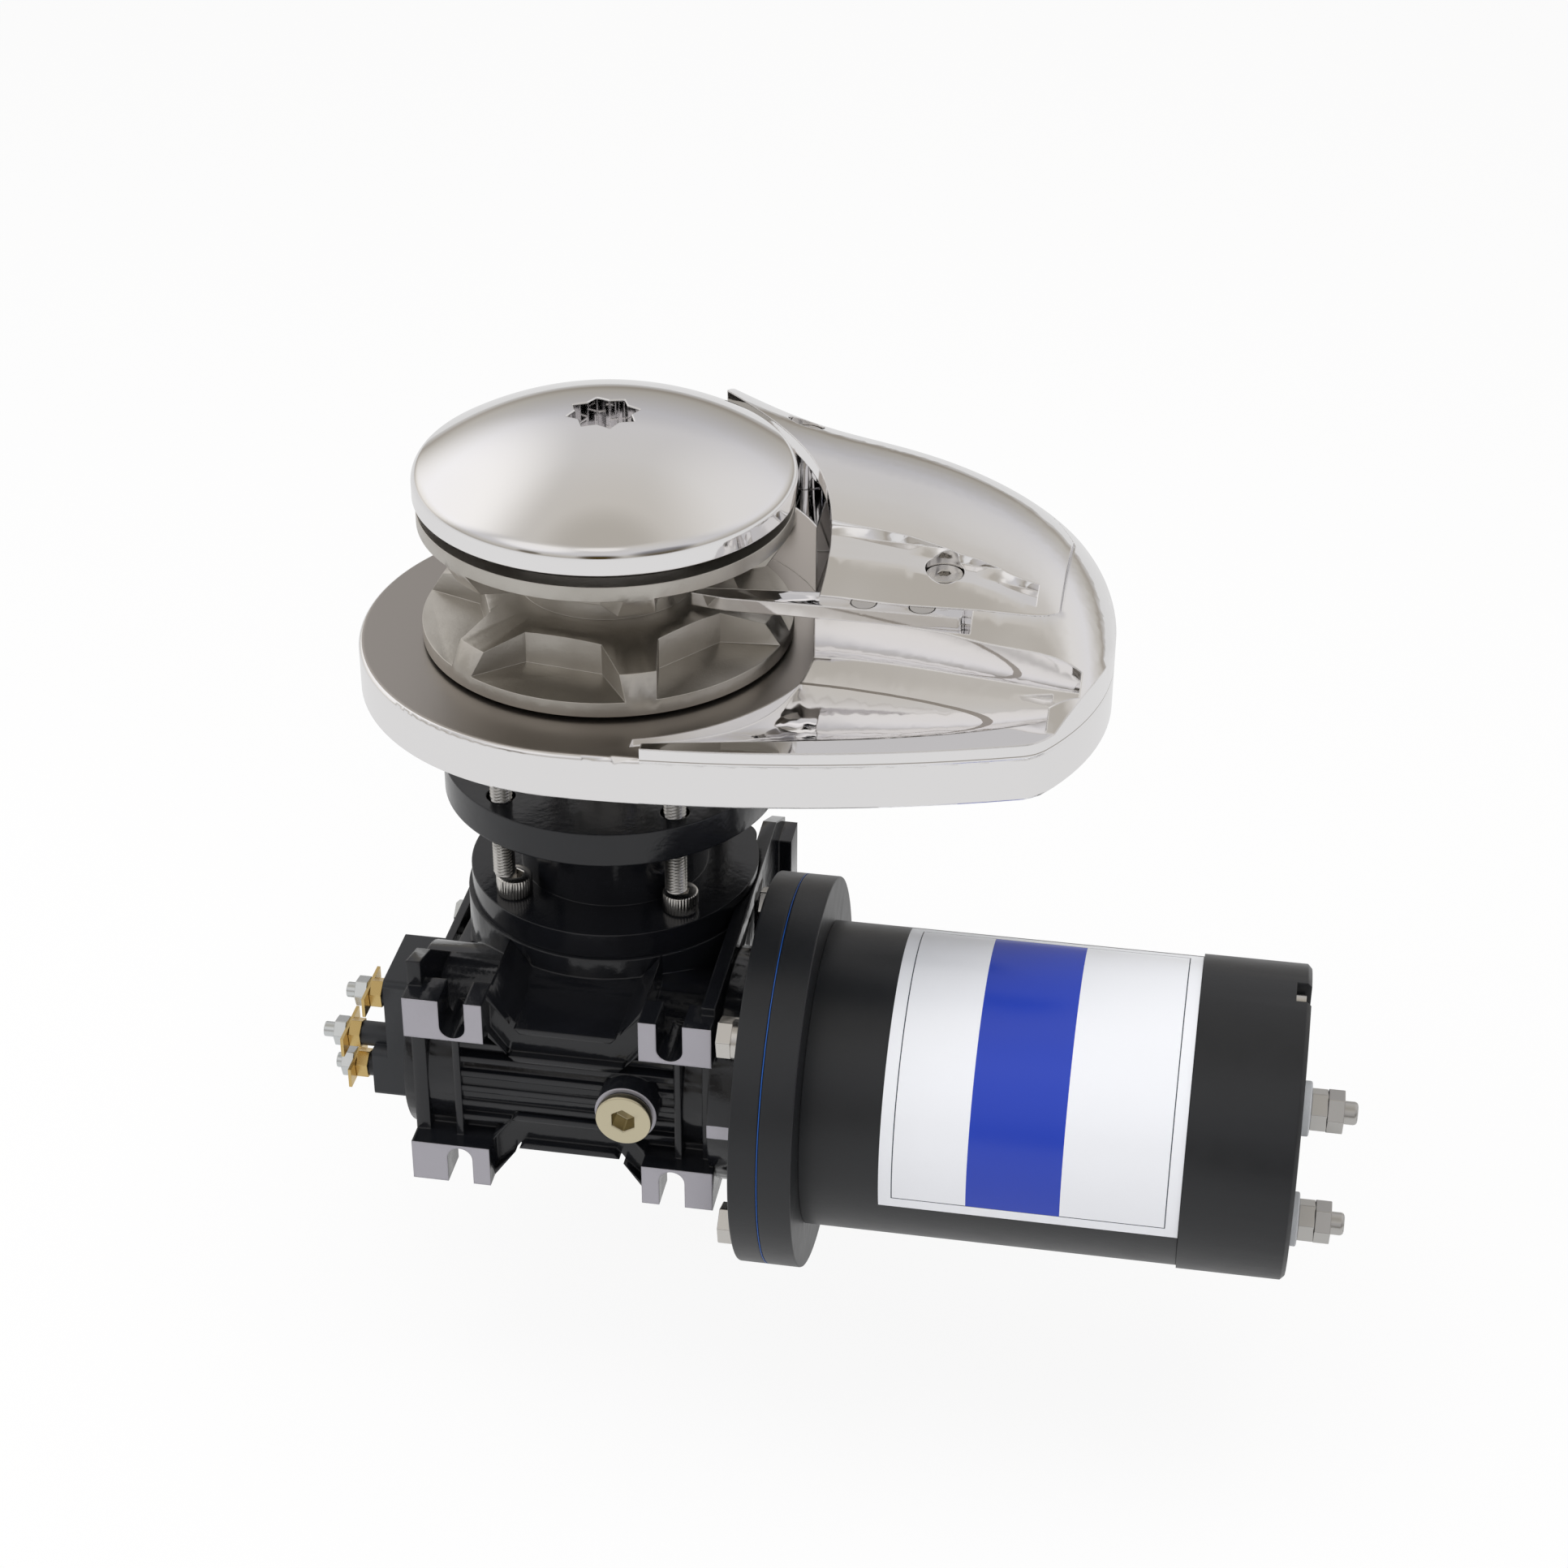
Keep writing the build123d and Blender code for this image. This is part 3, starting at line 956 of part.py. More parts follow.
with BuildPart() as flange_sealant:
    add(tube_x(FLANGE_R, FLANGE_R - 4, FLANGE_SPLIT_X - SEALANT_T + SEAT, FLANGE_SPLIT_X - SEAT))
save(flange_sealant.part, "flange_sealant")

with BuildPart() as motor_shield:
    add(spun((FLANGE_SPLIT_X, SHIELD_BORE_R), (FLANGE_SPLIT_X, FLANGE_R), (FLANGE_END_X, FLANGE_R),
             (FLANGE_END_X, CAN_R - CAN_T - SEAT), (SHIELD_SPIGOT_X, CAN_R - CAN_T - SEAT),
             (SHIELD_SPIGOT_X, MOTOR_BEARING_R + SEAT), (FRONT_BEARING_X - SEAT, MOTOR_BEARING_R + SEAT),
             (FRONT_BEARING_X - SEAT, SHIELD_BORE_R)))
    add(bars(FLANGE_BOLTS, FLANGE_SPLIT_X - 1, FLANGE_END_X - 1, FLANGE_BOLT_R + SEAT), mode=Mode.SUBTRACT)
save(motor_shield.part, "motor_shield")

with BuildPart() as flange_bolts:
    add(bars(FLANGE_BOLTS, BOLT_HEAD_X, FLANGE_END_X - 2, FLANGE_BOLT_R))
    add(hexagons(FLANGE_BOLTS, BOLT_HEAD_X, BOLT_HEAD_X + BOLT_HEAD_T, BOLT_HEX, turn=12))
save(flange_bolts.part, "flange_bolts")

with BuildPart() as bolt_washers:
    add(bars(FLANGE_BOLTS, BOLT_HEAD_X + BOLT_HEAD_T + SEAT, FLANGE_X - SEAT, BOLT_WASHER_R))
    add(bars(FLANGE_BOLTS, 0, FLANGE_END_X, FLANGE_BOLT_R + SEAT), mode=Mode.SUBTRACT)
save(bolt_washers.part, "flange_bolt_washers")

# Motor
save(tube_x(CAN_R, CAN_R - CAN_T, FLANGE_END_X + SEAT, CAN_END_X - SEAT), "motor_can")

with BuildPart() as motor_magnets:
    with BuildSketch(WORM_PLANE.offset(ARMATURE_X[0])):
        Circle(CAN_R - CAN_T - SEAT)
        Circle(CAN_R - CAN_T - SEAT - MAGNET_T, mode=Mode.SUBTRACT)
        with PolarLocations(CAN_R, 4):
            Rectangle(4 * MAGNET_T, MAGNET_SPACE, mode=Mode.SUBTRACT)
    extrude(amount=ARMATURE_X[1] - ARMATURE_X[0])
save(motor_magnets.part, "motor_magnets")

with BuildPart() as armature:
    add(spun((MOTOR_TAIL_X, 0), (MOTOR_TAIL_X, MOTOR_TAIL_R), (TAIL_SHOULDER_X, MOTOR_TAIL_R),
             (TAIL_SHOULDER_X, MOTOR_SHAFT_R), (WINDING_X[0], MOTOR_SHAFT_R), (WINDING_X[0], WINDING_R),
             (ARMATURE_X[0], WINDING_R), (ARMATURE_X[0], ARMATURE_R), (ARMATURE_X[1], ARMATURE_R),
             (ARMATURE_X[1], WINDING_R), (WINDING_X[1], WINDING_R), (WINDING_X[1], MOTOR_SHAFT_R),
             (MOTOR_SHAFT_END_X, MOTOR_SHAFT_R), (MOTOR_SHAFT_END_X, 0)))
    with BuildSketch(WORM_PLANE.offset(ARMATURE_X[0])):
        with PolarLocations(ARMATURE_R - 2, ARMATURE_SLOTS):
            Rectangle(10, ARMATURE_SLOT_W)
    extrude(amount=ARMATURE_X[1] - ARMATURE_X[0], mode=Mode.SUBTRACT)
    add(slab(MOTOR_KEY_X[0] - SEAT, MOTOR_KEY_X[1] + SEAT, -CENTRES - 2 - SEAT, -CENTRES + 2 + SEAT,
             WORM_Z + MOTOR_TAIL_R - MOTOR_KEY_H - SEAT, WORM_Z + 2 * MOTOR_TAIL_R), mode=Mode.SUBTRACT)
save(armature.part, "armature")

save(slab(MOTOR_KEY_X[0], MOTOR_KEY_X[1], -CENTRES - 2, -CENTRES + 2, WORM_Z + MOTOR_TAIL_R - MOTOR_KEY_H,
          WORM_Z + MOTOR_TAIL_R + MOTOR_KEY_H), "motor_key")

with BuildPart() as commutator:
    add(tube_x(COMMUTATOR_R, MOTOR_SHAFT_R + SEAT, *COMMUTATOR_X))
    with BuildSketch(WORM_PLANE.offset(COMMUTATOR_X[0] + 3)):
        with PolarLocations(COMMUTATOR_R, 2 * ARMATURE_SLOTS):
            Rectangle(2, 0.8)
    extrude(amount=FAR, mode=Mode.SUBTRACT)
save(commutator.part, "commutator")

with BuildPart() as brushes:
    with BuildSketch(WORM_PLANE.offset(BRUSH_X[0])):
        with PolarLocations((BRUSH_R[0] + BRUSH_R[1]) / 2, 4, start_angle=45):
            Rectangle(BRUSH_R[1] - BRUSH_R[0], BRUSH_W)
    extrude(amount=BRUSH_X[1] - BRUSH_X[0])
save(brushes.part, "brushes")

with BuildPart() as brush_holder:
    add(tube_x(CAN_R - CAN_T - GAP, COMMUTATOR_R + 2, BRUSH_X[1] + SEAT, BRUSH_X[1] + 4))
    with BuildSketch(WORM_PLANE.offset(BRUSH_X[0])):
        with PolarLocations((BRUSH_R[0] + BRUSH_R[1]) / 2 + 2, 4, start_angle=45):
            Rectangle(BRUSH_R[1] - BRUSH_R[0], BRUSH_W + 4)
        with PolarLocations((BRUSH_R[0] + BRUSH_R[1]) / 2, 4, start_angle=45):
            Rectangle(BRUSH_R[1] - BRUSH_R[0] + 2 * SEAT, BRUSH_W + 2 * SEAT, mode=Mode.SUBTRACT)
    extrude(amount=BRUSH_X[1] - BRUSH_X[0] + 1)
save(brush_holder.part, "brush_holder")

with BuildPart() as motor_bearings:
    for x in (FRONT_BEARING_X, REAR_BEARING_X):
        add(tube_x(MOTOR_BEARING_R, MOTOR_SHAFT_R + RUN, x, x + MOTOR_BEARING_T))
save(motor_bearings.part, "motor_bearings")

with BuildPart() as motor_end_cap:
    add(spun((CAN_END_X, CAP_BORE_R), (CAN_END_X, CAP_MOTOR_R), (CAP_MOTOR_END_X - CAP_CHAMFER, CAP_MOTOR_R),
             (CAP_MOTOR_END_X, CAP_MOTOR_R - CAP_CHAMFER), (CAP_MOTOR_END_X, 0), (CAP_WALL_X + 2, 0),
             (CAP_WALL_X + 2, MOTOR_SHAFT_R + 1), (REAR_BEARING_X + MOTOR_BEARING_T + SEAT, MOTOR_SHAFT_R + 1),
             (REAR_BEARING_X + MOTOR_BEARING_T + SEAT, MOTOR_BEARING_R + SEAT),
             (REAR_BEARING_X, MOTOR_BEARING_R + SEAT), (REAR_BEARING_X, MOTOR_BEARING_R + 5),
             (CAP_WALL_X, MOTOR_BEARING_R + 5), (CAP_WALL_X, CAP_BORE_R)))
    add(bars(TERMINALS, INSULATOR_X, CAP_MOTOR_END_X + 1, INSULATOR_R + 1), mode=Mode.SUBTRACT)
    add(bars(TERMINALS, CAP_WALL_X - 1, CAP_MOTOR_END_X + 1, INSULATOR_SLEEVE_R + SEAT), mode=Mode.SUBTRACT)
    for y, z in CAP_SCREWS:
        reach = (CAP_NOTCH_R + CAP_NOTCH_REACH) / CAP_NOTCH_R
        out_y, out_z = -CENTRES + (y + CENTRES) * reach, WORM_Z + (z - WORM_Z) * reach
        middle = Vector((CAP_NOTCH_X + CAP_MOTOR_END_X + 1) / 2, (y + out_y) / 2, (z + out_z) / 2)
        with Locations(Location(middle, (degrees(atan2(z - WORM_Z, y + CENTRES)), 0, 0))):
            Box(CAP_MOTOR_END_X + 1 - CAP_NOTCH_X, CAP_NOTCH_REACH + CAP_NOTCH_W, CAP_NOTCH_W, mode=Mode.SUBTRACT)
    add(bars(CAP_SCREWS, CAN_END_X - 1, CAP_MOTOR_END_X, CAP_SCREW_R + SEAT), mode=Mode.SUBTRACT)
save(motor_end_cap.part, "motor_end_cap")

with BuildPart() as end_cap_screws:
    add(bars(CAP_SCREWS, CAN_END_X + 4, CAP_NOTCH_X + SEAT, CAP_SCREW_R))
    add(bars(CAP_SCREWS, CAP_NOTCH_X + SEAT, CAP_NOTCH_X + CAP_SCREW_HEAD_T, CAP_SCREW_HEAD_R))
save(end_cap_screws.part, "end_cap_screws")

with BuildPart() as motor_label:
    with BuildSketch(WORM_PLANE.offset(LABEL_X[0])):
        Circle(CAN_R + LABEL_GAP + LABEL_T)
        Circle(CAN_R + LABEL_GAP, mode=Mode.SUBTRACT)
        with BuildLine():
            Line((0, 0), (-FAR * cos(radians(LABEL_FROM)), FAR * sin(radians(LABEL_FROM))))
            Line((-FAR * cos(radians(LABEL_FROM)), FAR * sin(radians(LABEL_FROM))), (-FAR, FAR))
            Line((-FAR, FAR), (-FAR * cos(radians(LABEL_TO)), FAR * sin(radians(LABEL_TO))))
            Line((-FAR * cos(radians(LABEL_TO)), FAR * sin(radians(LABEL_TO))), (0, 0))
        make_face(mode=Mode.INTERSECT)
    extrude(amount=LABEL_X[1] - LABEL_X[0])
save(motor_label.part, "motor_label")

# Terminals on the motor's end face
with BuildPart() as terminal_insulators:
    add(bars(TERMINALS, INSULATOR_X + SEAT, INSULATOR_X + INSULATOR_T, INSULATOR_R))
    add(bars(TERMINALS, CAP_WALL_X, INSULATOR_X + INSULATOR_T, INSULATOR_SLEEVE_R))
    add(bars(TERMINALS, CAP_WALL_X - 1, TERMINAL_END_X, TERMINAL_STUD_R + SEAT), mode=Mode.SUBTRACT)
save(terminal_insulators.part, "terminal_insulators")

with BuildPart() as terminal_studs:
    add(bars(TERMINALS, CAP_WALL_X - TERMINAL_HEAD_T, TERMINAL_END_X, TERMINAL_STUD_R))
    add(bars(TERMINALS, CAP_WALL_X - TERMINAL_HEAD_T, CAP_WALL_X - SEAT, TERMINAL_STUD_R + 2))
    chamfer(terminal_studs.edges().filter_by(GeomType.CIRCLE).group_by(Axis.X)[-1], 0.8)
save(terminal_studs.part, "terminal_studs")

with BuildPart() as terminal_nuts:
    for row in (0, 1):
        x = INSULATOR_X + INSULATOR_T + SEAT + row * (TERMINAL_NUT_T + SEAT)
        add(hexagons(TERMINALS, x, x + TERMINAL_NUT_T, TERMINAL_NUT_W, TERMINAL_STUD_R + SEAT, 9 + 14 * row))
save(terminal_nuts.part, "terminal_nuts")

# Contactor on its bracket, at the blind end of the gearbox
with BuildPart() as contactor_bracket:
    add(slab(*BRACKET_X, *BRACKET_Y, *BRACKET_Z))
    fillet(contactor_bracket.edges().filter_by(Axis.X), 4)
    add(bars([(BRACKET_SCREW_Y, z) for z in BRACKET_SCREW_Z], BRACKET_X[0] - 1, 0, BRACKET_SCREW_R + SLACK),
        mode=Mode.SUBTRACT)
    add(bars(BOX_SCREWS, BRACKET_X[0] - 1, 0, BOX_SCREW_R + SLACK), mode=Mode.SUBTRACT)
    add(bars(BOX_SCREWS, BRACKET_X[0] + 1, 0, BOX_SCREW_HEAD_R + SLACK), mode=Mode.SUBTRACT)
save(contactor_bracket.part, "contactor_bracket")

with BuildPart() as bracket_screws:
    places = [(BRACKET_SCREW_Y, z) for z in BRACKET_SCREW_Z]
    add(bars(places, BRACKET_X[0] - SEAT, BRACKET_X[1] + BRACKET_DEPTH - 1, BRACKET_SCREW_R))
    add(hexagons(places, BRACKET_X[0] - 4, BRACKET_X[0] - SEAT, BOX_NUT_W, turn=10))
save(bracket_screws.part, "bracket_screws")

with BuildPart() as contactor_body:
    add(slab(BOX_STEP_X, BRACKET_X[0] - SEAT, *BOX_Y, *BOX_Z))
    add(slab(BOX_X, BRACKET_X[0] - SEAT, *BOX_Y, BOX_Z[0], BOX_STEP_Z))
    fillet(contactor_body.edges().filter_by(Axis.X), 2.5)
    for y, z, face_x, end_x in BOX_STUDS:
        add(rod((face_x, y, z), (BOX_THREAD_X, y, z), BOX_BOSS_R))
        add(rod((end_x, y, z), (BOX_THREAD_X + SEAT, y, z), BOX_STUD_R + SEAT), mode=Mode.SUBTRACT)
    add(bars(BOX_SCREWS, BOX_SCREW_X - SEAT, 0, BOX_SCREW_R + SEAT), mode=Mode.SUBTRACT)
save(contactor_body.part, "contactor_body")

with BuildPart() as contactor_screws:
    add(bars(BOX_SCREWS, BOX_SCREW_X, BRACKET_X[0] + 1.5, BOX_SCREW_R))
    add(bars(BOX_SCREWS, BRACKET_X[0] + 1 + SEAT, BRACKET_X[1] - 0.2, BOX_SCREW_HEAD_R))
save(contactor_screws.part, "contactor_screws")

with BuildPart() as contactor_studs:
    for y, z, _, end_x in BOX_STUDS:
        add(rod((end_x, y, z), (BOX_THREAD_X, y, z), BOX_STUD_R))
save(contactor_studs.part, "contactor_studs")

with BuildPart() as contactor_tabs:
    for y, z, face_x, _ in BOX_STUDS:
        tab_x = face_x - BOX_NUT_T - SEAT
        add(slab(tab_x - TAB_T, tab_x, y - TAB_BACK, y + TAB_BACK, z - TAB_W / 2, z + TAB_W / 2))
        add(rod((tab_x - 5, y, z), (tab_x + 5, y, z), BOX_STUD_R + SEAT), mode=Mode.SUBTRACT)
save(contactor_tabs.part, "contactor_tabs")

with BuildPart() as contactor_nuts:
    for y, z, face_x, _ in BOX_STUDS:
        add(nut((face_x - BOX_NUT_T, y, z), (face_x - SEAT, y, z), BOX_NUT_W, BOX_STUD_R + SEAT, 8))
save(contactor_nuts.part, "contactor_brass_nuts")

with BuildPart() as contactor_hex:
    for y, z, face_x, _ in BOX_STUDS:
        outer_x = face_x - BOX_NUT_T - TAB_T - 2 * SEAT
        add(nut((outer_x - BOX_NUT_T, y, z), (outer_x, y, z), BOX_NUT_W, BOX_STUD_R + SEAT, 20))
save(contactor_hex.part, "contactor_steel_nuts")
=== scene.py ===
"""Anchor windlass: materials, detailed surfaces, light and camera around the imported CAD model.

Lengths in this file are millimetres and are turned into metres when a mesh is made.
"""
import json
from math import cos, pi, radians, sin

import bmesh
import bpy
import numpy as np
from mathutils import Matrix, Vector


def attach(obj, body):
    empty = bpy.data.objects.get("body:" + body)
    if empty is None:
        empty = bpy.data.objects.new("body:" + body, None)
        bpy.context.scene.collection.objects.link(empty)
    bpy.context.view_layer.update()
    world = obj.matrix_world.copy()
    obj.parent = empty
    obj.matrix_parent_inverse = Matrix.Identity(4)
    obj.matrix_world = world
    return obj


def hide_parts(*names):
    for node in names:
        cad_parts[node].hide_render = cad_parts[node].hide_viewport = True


bl_info = {
    "name": "Anchor windlass",
    "version": (1, 0, 0),
    "blender": (4, 5, 0),
    "location": "View3D > Sidebar > Windlass",
    "description": "Builds the surfaces, finishes and studio of an anchor windlass",
    "category": "Object",
}

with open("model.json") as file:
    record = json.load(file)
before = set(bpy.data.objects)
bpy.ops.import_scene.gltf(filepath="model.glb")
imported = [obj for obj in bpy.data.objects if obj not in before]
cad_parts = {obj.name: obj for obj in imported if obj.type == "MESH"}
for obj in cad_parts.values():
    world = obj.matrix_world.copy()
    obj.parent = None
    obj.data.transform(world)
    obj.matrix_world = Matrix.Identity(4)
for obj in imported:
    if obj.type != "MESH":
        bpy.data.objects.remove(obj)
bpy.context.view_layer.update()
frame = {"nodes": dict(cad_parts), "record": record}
SLOT_OF = {part["node"]: part["material_slot"] for part in frame["record"]["subparts"]}
BODY_OF = {node: body for body, nodes in frame["record"]["behaviour"]["bodies"].items() for node in nodes}

MM = 0.001


# ---------------------------------------------------------------------------------------- meshes

class Shell:
    """Points and faces of one piece, gathered from several surfaces, in millimetres."""

    def __init__(self):
        self.points = []
        self.faces = []
        self.count = 0

    def rings(self, points):
        """Quads over rings of points (rings, columns, 3), the last column joined to the first; returns the indices."""
        points = np.asarray(points, float)
        count, columns = points.shape[:2]
        index = np.arange(count * columns).reshape(count, columns) + self.count
        right = np.roll(index, -1, 1)
        quads = np.stack([index[:-1], right[:-1], right[1:], index[1:]], -1).reshape(-1, 4)
        self.points.append(points.reshape(-1, 3))
        self.faces += quads.tolist()
        self.count += count * columns
        return index

    def lathe(self, rings, place):
        """Rings of (radius, height), each a number or an array over the angle a, stacked along an axis.

        place is (centre, axis, side): a point is centre + height * axis + radius * (cos a * side + sin a * third).
        A flat face closes each of the two ends.
        """
        centre, axis, side = (np.asarray(v, float) for v in place)
        third = np.cross(axis, side)
        count = max(np.size(part) for ring in rings for part in ring)
        angles = turn_of(count if count > 1 else 48)
        around = np.cos(angles)[:, None] * side + np.sin(angles)[:, None] * third
        ones = np.ones_like(angles)
        index = self.rings([centre + (ones * r)[:, None] * around + (ones * h)[:, None] * axis for r, h in rings])
        self.faces += [index[0][::-1].tolist(), index[-1].tolist()]

    def piece(self, name, body, slot, node, angle):
        """Makes the object that stands for a CAD node: smooth except at edges sharper than angle degrees."""
        mesh = bpy.data.meshes.new(name)
        mesh.from_pydata((np.concatenate(self.points) * MM).tolist(), [], self.faces)
        form = bmesh.new()
        form.from_mesh(mesh)
        bmesh.ops.remove_doubles(form, verts=form.verts, dist=2e-6)
        bmesh.ops.recalc_face_normals(form, faces=form.faces)
        form.to_mesh(mesh)
        form.free()
        mesh.materials.append(FINISHES[slot])
        mesh.shade_smooth()
        mesh.set_sharp_from_angle(angle=radians(angle))
        piece = bpy.data.objects.new(name, mesh)
        bpy.context.scene.collection.objects.link(piece)
        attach(piece, body)
        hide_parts(node)


def turn_of(count):
    """Evenly spaced angles of one turn."""
    return np.linspace(0, 2 * pi, count, endpoint=False)


def hexagon(across_flats, count):
    """Radius of a hexagon's outline at count evenly spaced angles."""
    return across_flats / 2 / np.cos((turn_of(count) + pi / 6) % (pi / 3) - pi / 6)


def thread_rings(radius, low, high, pitch=1.25, depth=0.8, count=36):
    """Rings of a screw thread: the radius falls and rises once for each pitch along the axis and turn around it.

    The last millimetre tapers to the thread's root.
    """
    heights = np.arange(low, high, pitch / 6)
    phase = (heights[:, None] / pitch - turn_of(count)[None] / (2 * pi)) % 1
    tooth = np.abs(phase * 2 - 1)
    fade = (high - heights).clip(0, 1)[:, None]
    radii = (radius - depth * (1 - fade)) - depth * tooth * fade
    return [(row, height) for row, height in zip(radii, heights)] + [(radius - depth, high)]


# ------------------------------------------------------------------------------------ node groups

def group_sockets(name, inputs, outputs):
    """Empty shader node group with named inputs and outputs; returns the tree and its two end nodes."""
    tree = bpy.data.node_groups.new(name, "ShaderNodeTree")
    for label, kind, value in inputs:
        socket = tree.interface.new_socket(label, in_out="INPUT", socket_type=kind)
        if value is not None:
            socket.default_value = value
    for label, kind in outputs:
        tree.interface.new_socket(label, in_out="OUTPUT", socket_type=kind)
    return tree, tree.nodes.new("NodeGroupInput"), tree.nodes.new("NodeGroupOutput")


def cast_grain_group():
    """Cast or sprayed skin: lumps and fine grain as a height, and a slow shift of colour and gloss."""
    tree, start, end = group_sockets(
        "Cast grain",
        [("Base", "NodeSocketColor", None), ("Tone", "NodeSocketColor", None), ("Amount", "NodeSocketFloat", 0.3),
         ("Grain scale", "NodeSocketFloat", 900.0), ("Lump scale", "NodeSocketFloat", 60.0),
         ("Roughness", "NodeSocketFloat", 0.3), ("Roughness spread", "NodeSocketFloat", 0.1)],
        [("Color", "NodeSocketColor"), ("Roughness", "NodeSocketFloat"), ("Height", "NodeSocketFloat")])
    link = tree.links.new
    where = tree.nodes.new("ShaderNodeTexCoord")
    grain = tree.nodes.new("ShaderNodeTexNoise")
    lumps = tree.nodes.new("ShaderNodeTexNoise")
    lumps.inputs["Detail"].default_value = 4.0
    link(where.outputs["Object"], grain.inputs["Vector"])
    link(where.outputs["Object"], lumps.inputs["Vector"])
    link(start.outputs["Grain scale"], grain.inputs["Scale"])
    link(start.outputs["Lump scale"], lumps.inputs["Scale"])
    part = tree.nodes.new("ShaderNodeMath")
    part.operation = "MULTIPLY"
    link(lumps.outputs["Fac"], part.inputs[0])
    link(start.outputs["Amount"], part.inputs[1])
    mix = tree.nodes.new("ShaderNodeMix")
    mix.data_type = "RGBA"
    link(part.outputs[0], mix.inputs["Factor"])
    link(start.outputs["Base"], mix.inputs["A"])
    link(start.outputs["Tone"], mix.inputs["B"])
    link(mix.outputs["Result"], end.inputs["Color"])
    rough = tree.nodes.new("ShaderNodeMath")
    rough.operation = "MULTIPLY_ADD"
    link(lumps.outputs["Fac"], rough.inputs[0])
    link(start.outputs["Roughness spread"], rough.inputs[1])
    link(start.outputs["Roughness"], rough.inputs[2])
    link(rough.outputs[0], end.inputs["Roughness"])
    add = tree.nodes.new("ShaderNodeMath")
    add.operation = "MULTIPLY_ADD"
    add.inputs[1].default_value = 3.0
    link(lumps.outputs["Fac"], add.inputs[0])
    link(grain.outputs["Fac"], add.inputs[2])
    link(add.outputs[0], end.inputs["Height"])
    return tree


def polish_lines_group():
    """Fine marks of polishing or brushing: noise drawn out along one axis, as roughness and height."""
    tree, start, end = group_sockets(
        "Polish lines",
        [("Stretch", "NodeSocketVector", None), ("Scale", "NodeSocketFloat", 400.0),
         ("Roughness", "NodeSocketFloat", 0.05), ("Spread", "NodeSocketFloat", 0.06)],
        [("Roughness", "NodeSocketFloat"), ("Height", "NodeSocketFloat")])
    link = tree.links.new
    where = tree.nodes.new("ShaderNodeTexCoord")
    stretch = tree.nodes.new("ShaderNodeVectorMath")
    stretch.operation = "MULTIPLY"
    lines = tree.nodes.new("ShaderNodeTexNoise")
    lines.inputs["Detail"].default_value = 3.0
    link(where.outputs["Object"], stretch.inputs[0])
    link(start.outputs["Stretch"], stretch.inputs[1])
    link(stretch.outputs[0], lines.inputs["Vector"])
    link(start.outputs["Scale"], lines.inputs["Scale"])
    rough = tree.nodes.new("ShaderNodeMath")
    rough.operation = "MULTIPLY_ADD"
    link(lines.outputs["Fac"], rough.inputs[0])
    link(start.outputs["Spread"], rough.inputs[1])
    link(start.outputs["Roughness"], rough.inputs[2])
    link(rough.outputs[0], end.inputs["Roughness"])
    link(lines.outputs["Fac"], end.inputs["Height"])
    return tree


def between_group():
    """1 where a value lies between two limits, 0 elsewhere."""
    tree, start, end = group_sockets(
        "Between", [("Value", "NodeSocketFloat", 0.0), ("Low", "NodeSocketFloat", 0.0),
                    ("High", "NodeSocketFloat", 1.0)], [("Mask", "NodeSocketFloat")])
    above, below, both = (tree.nodes.new("ShaderNodeMath") for _ in range(3))
    above.operation, below.operation, both.operation = "GREATER_THAN", "LESS_THAN", "MULTIPLY"
    tree.links.new(start.outputs["Value"], above.inputs[0])
    tree.links.new(start.outputs["Low"], above.inputs[1])
    tree.links.new(start.outputs["Value"], below.inputs[0])
    tree.links.new(start.outputs["High"], below.inputs[1])
    tree.links.new(above.outputs[0], both.inputs[0])
    tree.links.new(below.outputs[0], both.inputs[1])
    tree.links.new(both.outputs[0], end.inputs["Mask"])
    return tree


def split_place(tree):
    """Separate XYZ node of the object coordinates."""
    where = tree.nodes.new("ShaderNodeTexCoord")
    split = tree.nodes.new("ShaderNodeSeparateXYZ")
    tree.links.new(where.outputs["Object"], split.inputs[0])
    return split


def between(tree, value, low, high):
    """Mask socket that is 1 where a socket's value in metres lies between two limits in millimetres."""
    node = tree.nodes.new("ShaderNodeGroup")
    node.node_tree = bpy.data.node_groups["Between"]
    node.inputs["Low"].default_value = low * MM
    node.inputs["High"].default_value = high * MM
    tree.links.new(value, node.inputs["Value"])
    return node.outputs["Mask"]


def math_node(tree, operation, first, second):
    """Output socket of a math node; an input is a socket or a number."""
    node = tree.nodes.new("ShaderNodeMath")
    node.operation = operation
    for socket, value in zip(node.inputs, (first, second)):
        if isinstance(value, bpy.types.NodeSocket):
            tree.links.new(value, socket)
        else:
            socket.default_value = value
    return node.outputs[0]


def mix_into(tree, shader, mask, color=None, rough=None, metallic=None):
    """Where mask is 1, the shader's colour, roughness and metal go over to the given values."""
    if color is not None:
        mix = tree.nodes.new("ShaderNodeMix")
        mix.data_type = "RGBA"
        mix.inputs["A"].default_value = shader.inputs["Base Color"].default_value
        if shader.inputs["Base Color"].links:
            tree.links.new(shader.inputs["Base Color"].links[0].from_socket, mix.inputs["A"])
        mix.inputs["B"].default_value = (*color, 1.0)
        tree.links.new(mask, mix.inputs["Factor"])
        tree.links.new(mix.outputs["Result"], shader.inputs["Base Color"])
    for name, value in (("Roughness", rough), ("Metallic", metallic)):
        if value is None:
            continue
        mix = tree.nodes.new("ShaderNodeMix")
        mix.inputs["A"].default_value = shader.inputs[name].default_value
        if shader.inputs[name].links:
            tree.links.new(shader.inputs[name].links[0].from_socket, mix.inputs["A"])
        mix.inputs["B"].default_value = value
        tree.links.new(mask, mix.inputs["Factor"])
        tree.links.new(mix.outputs["Result"], shader.inputs[name])


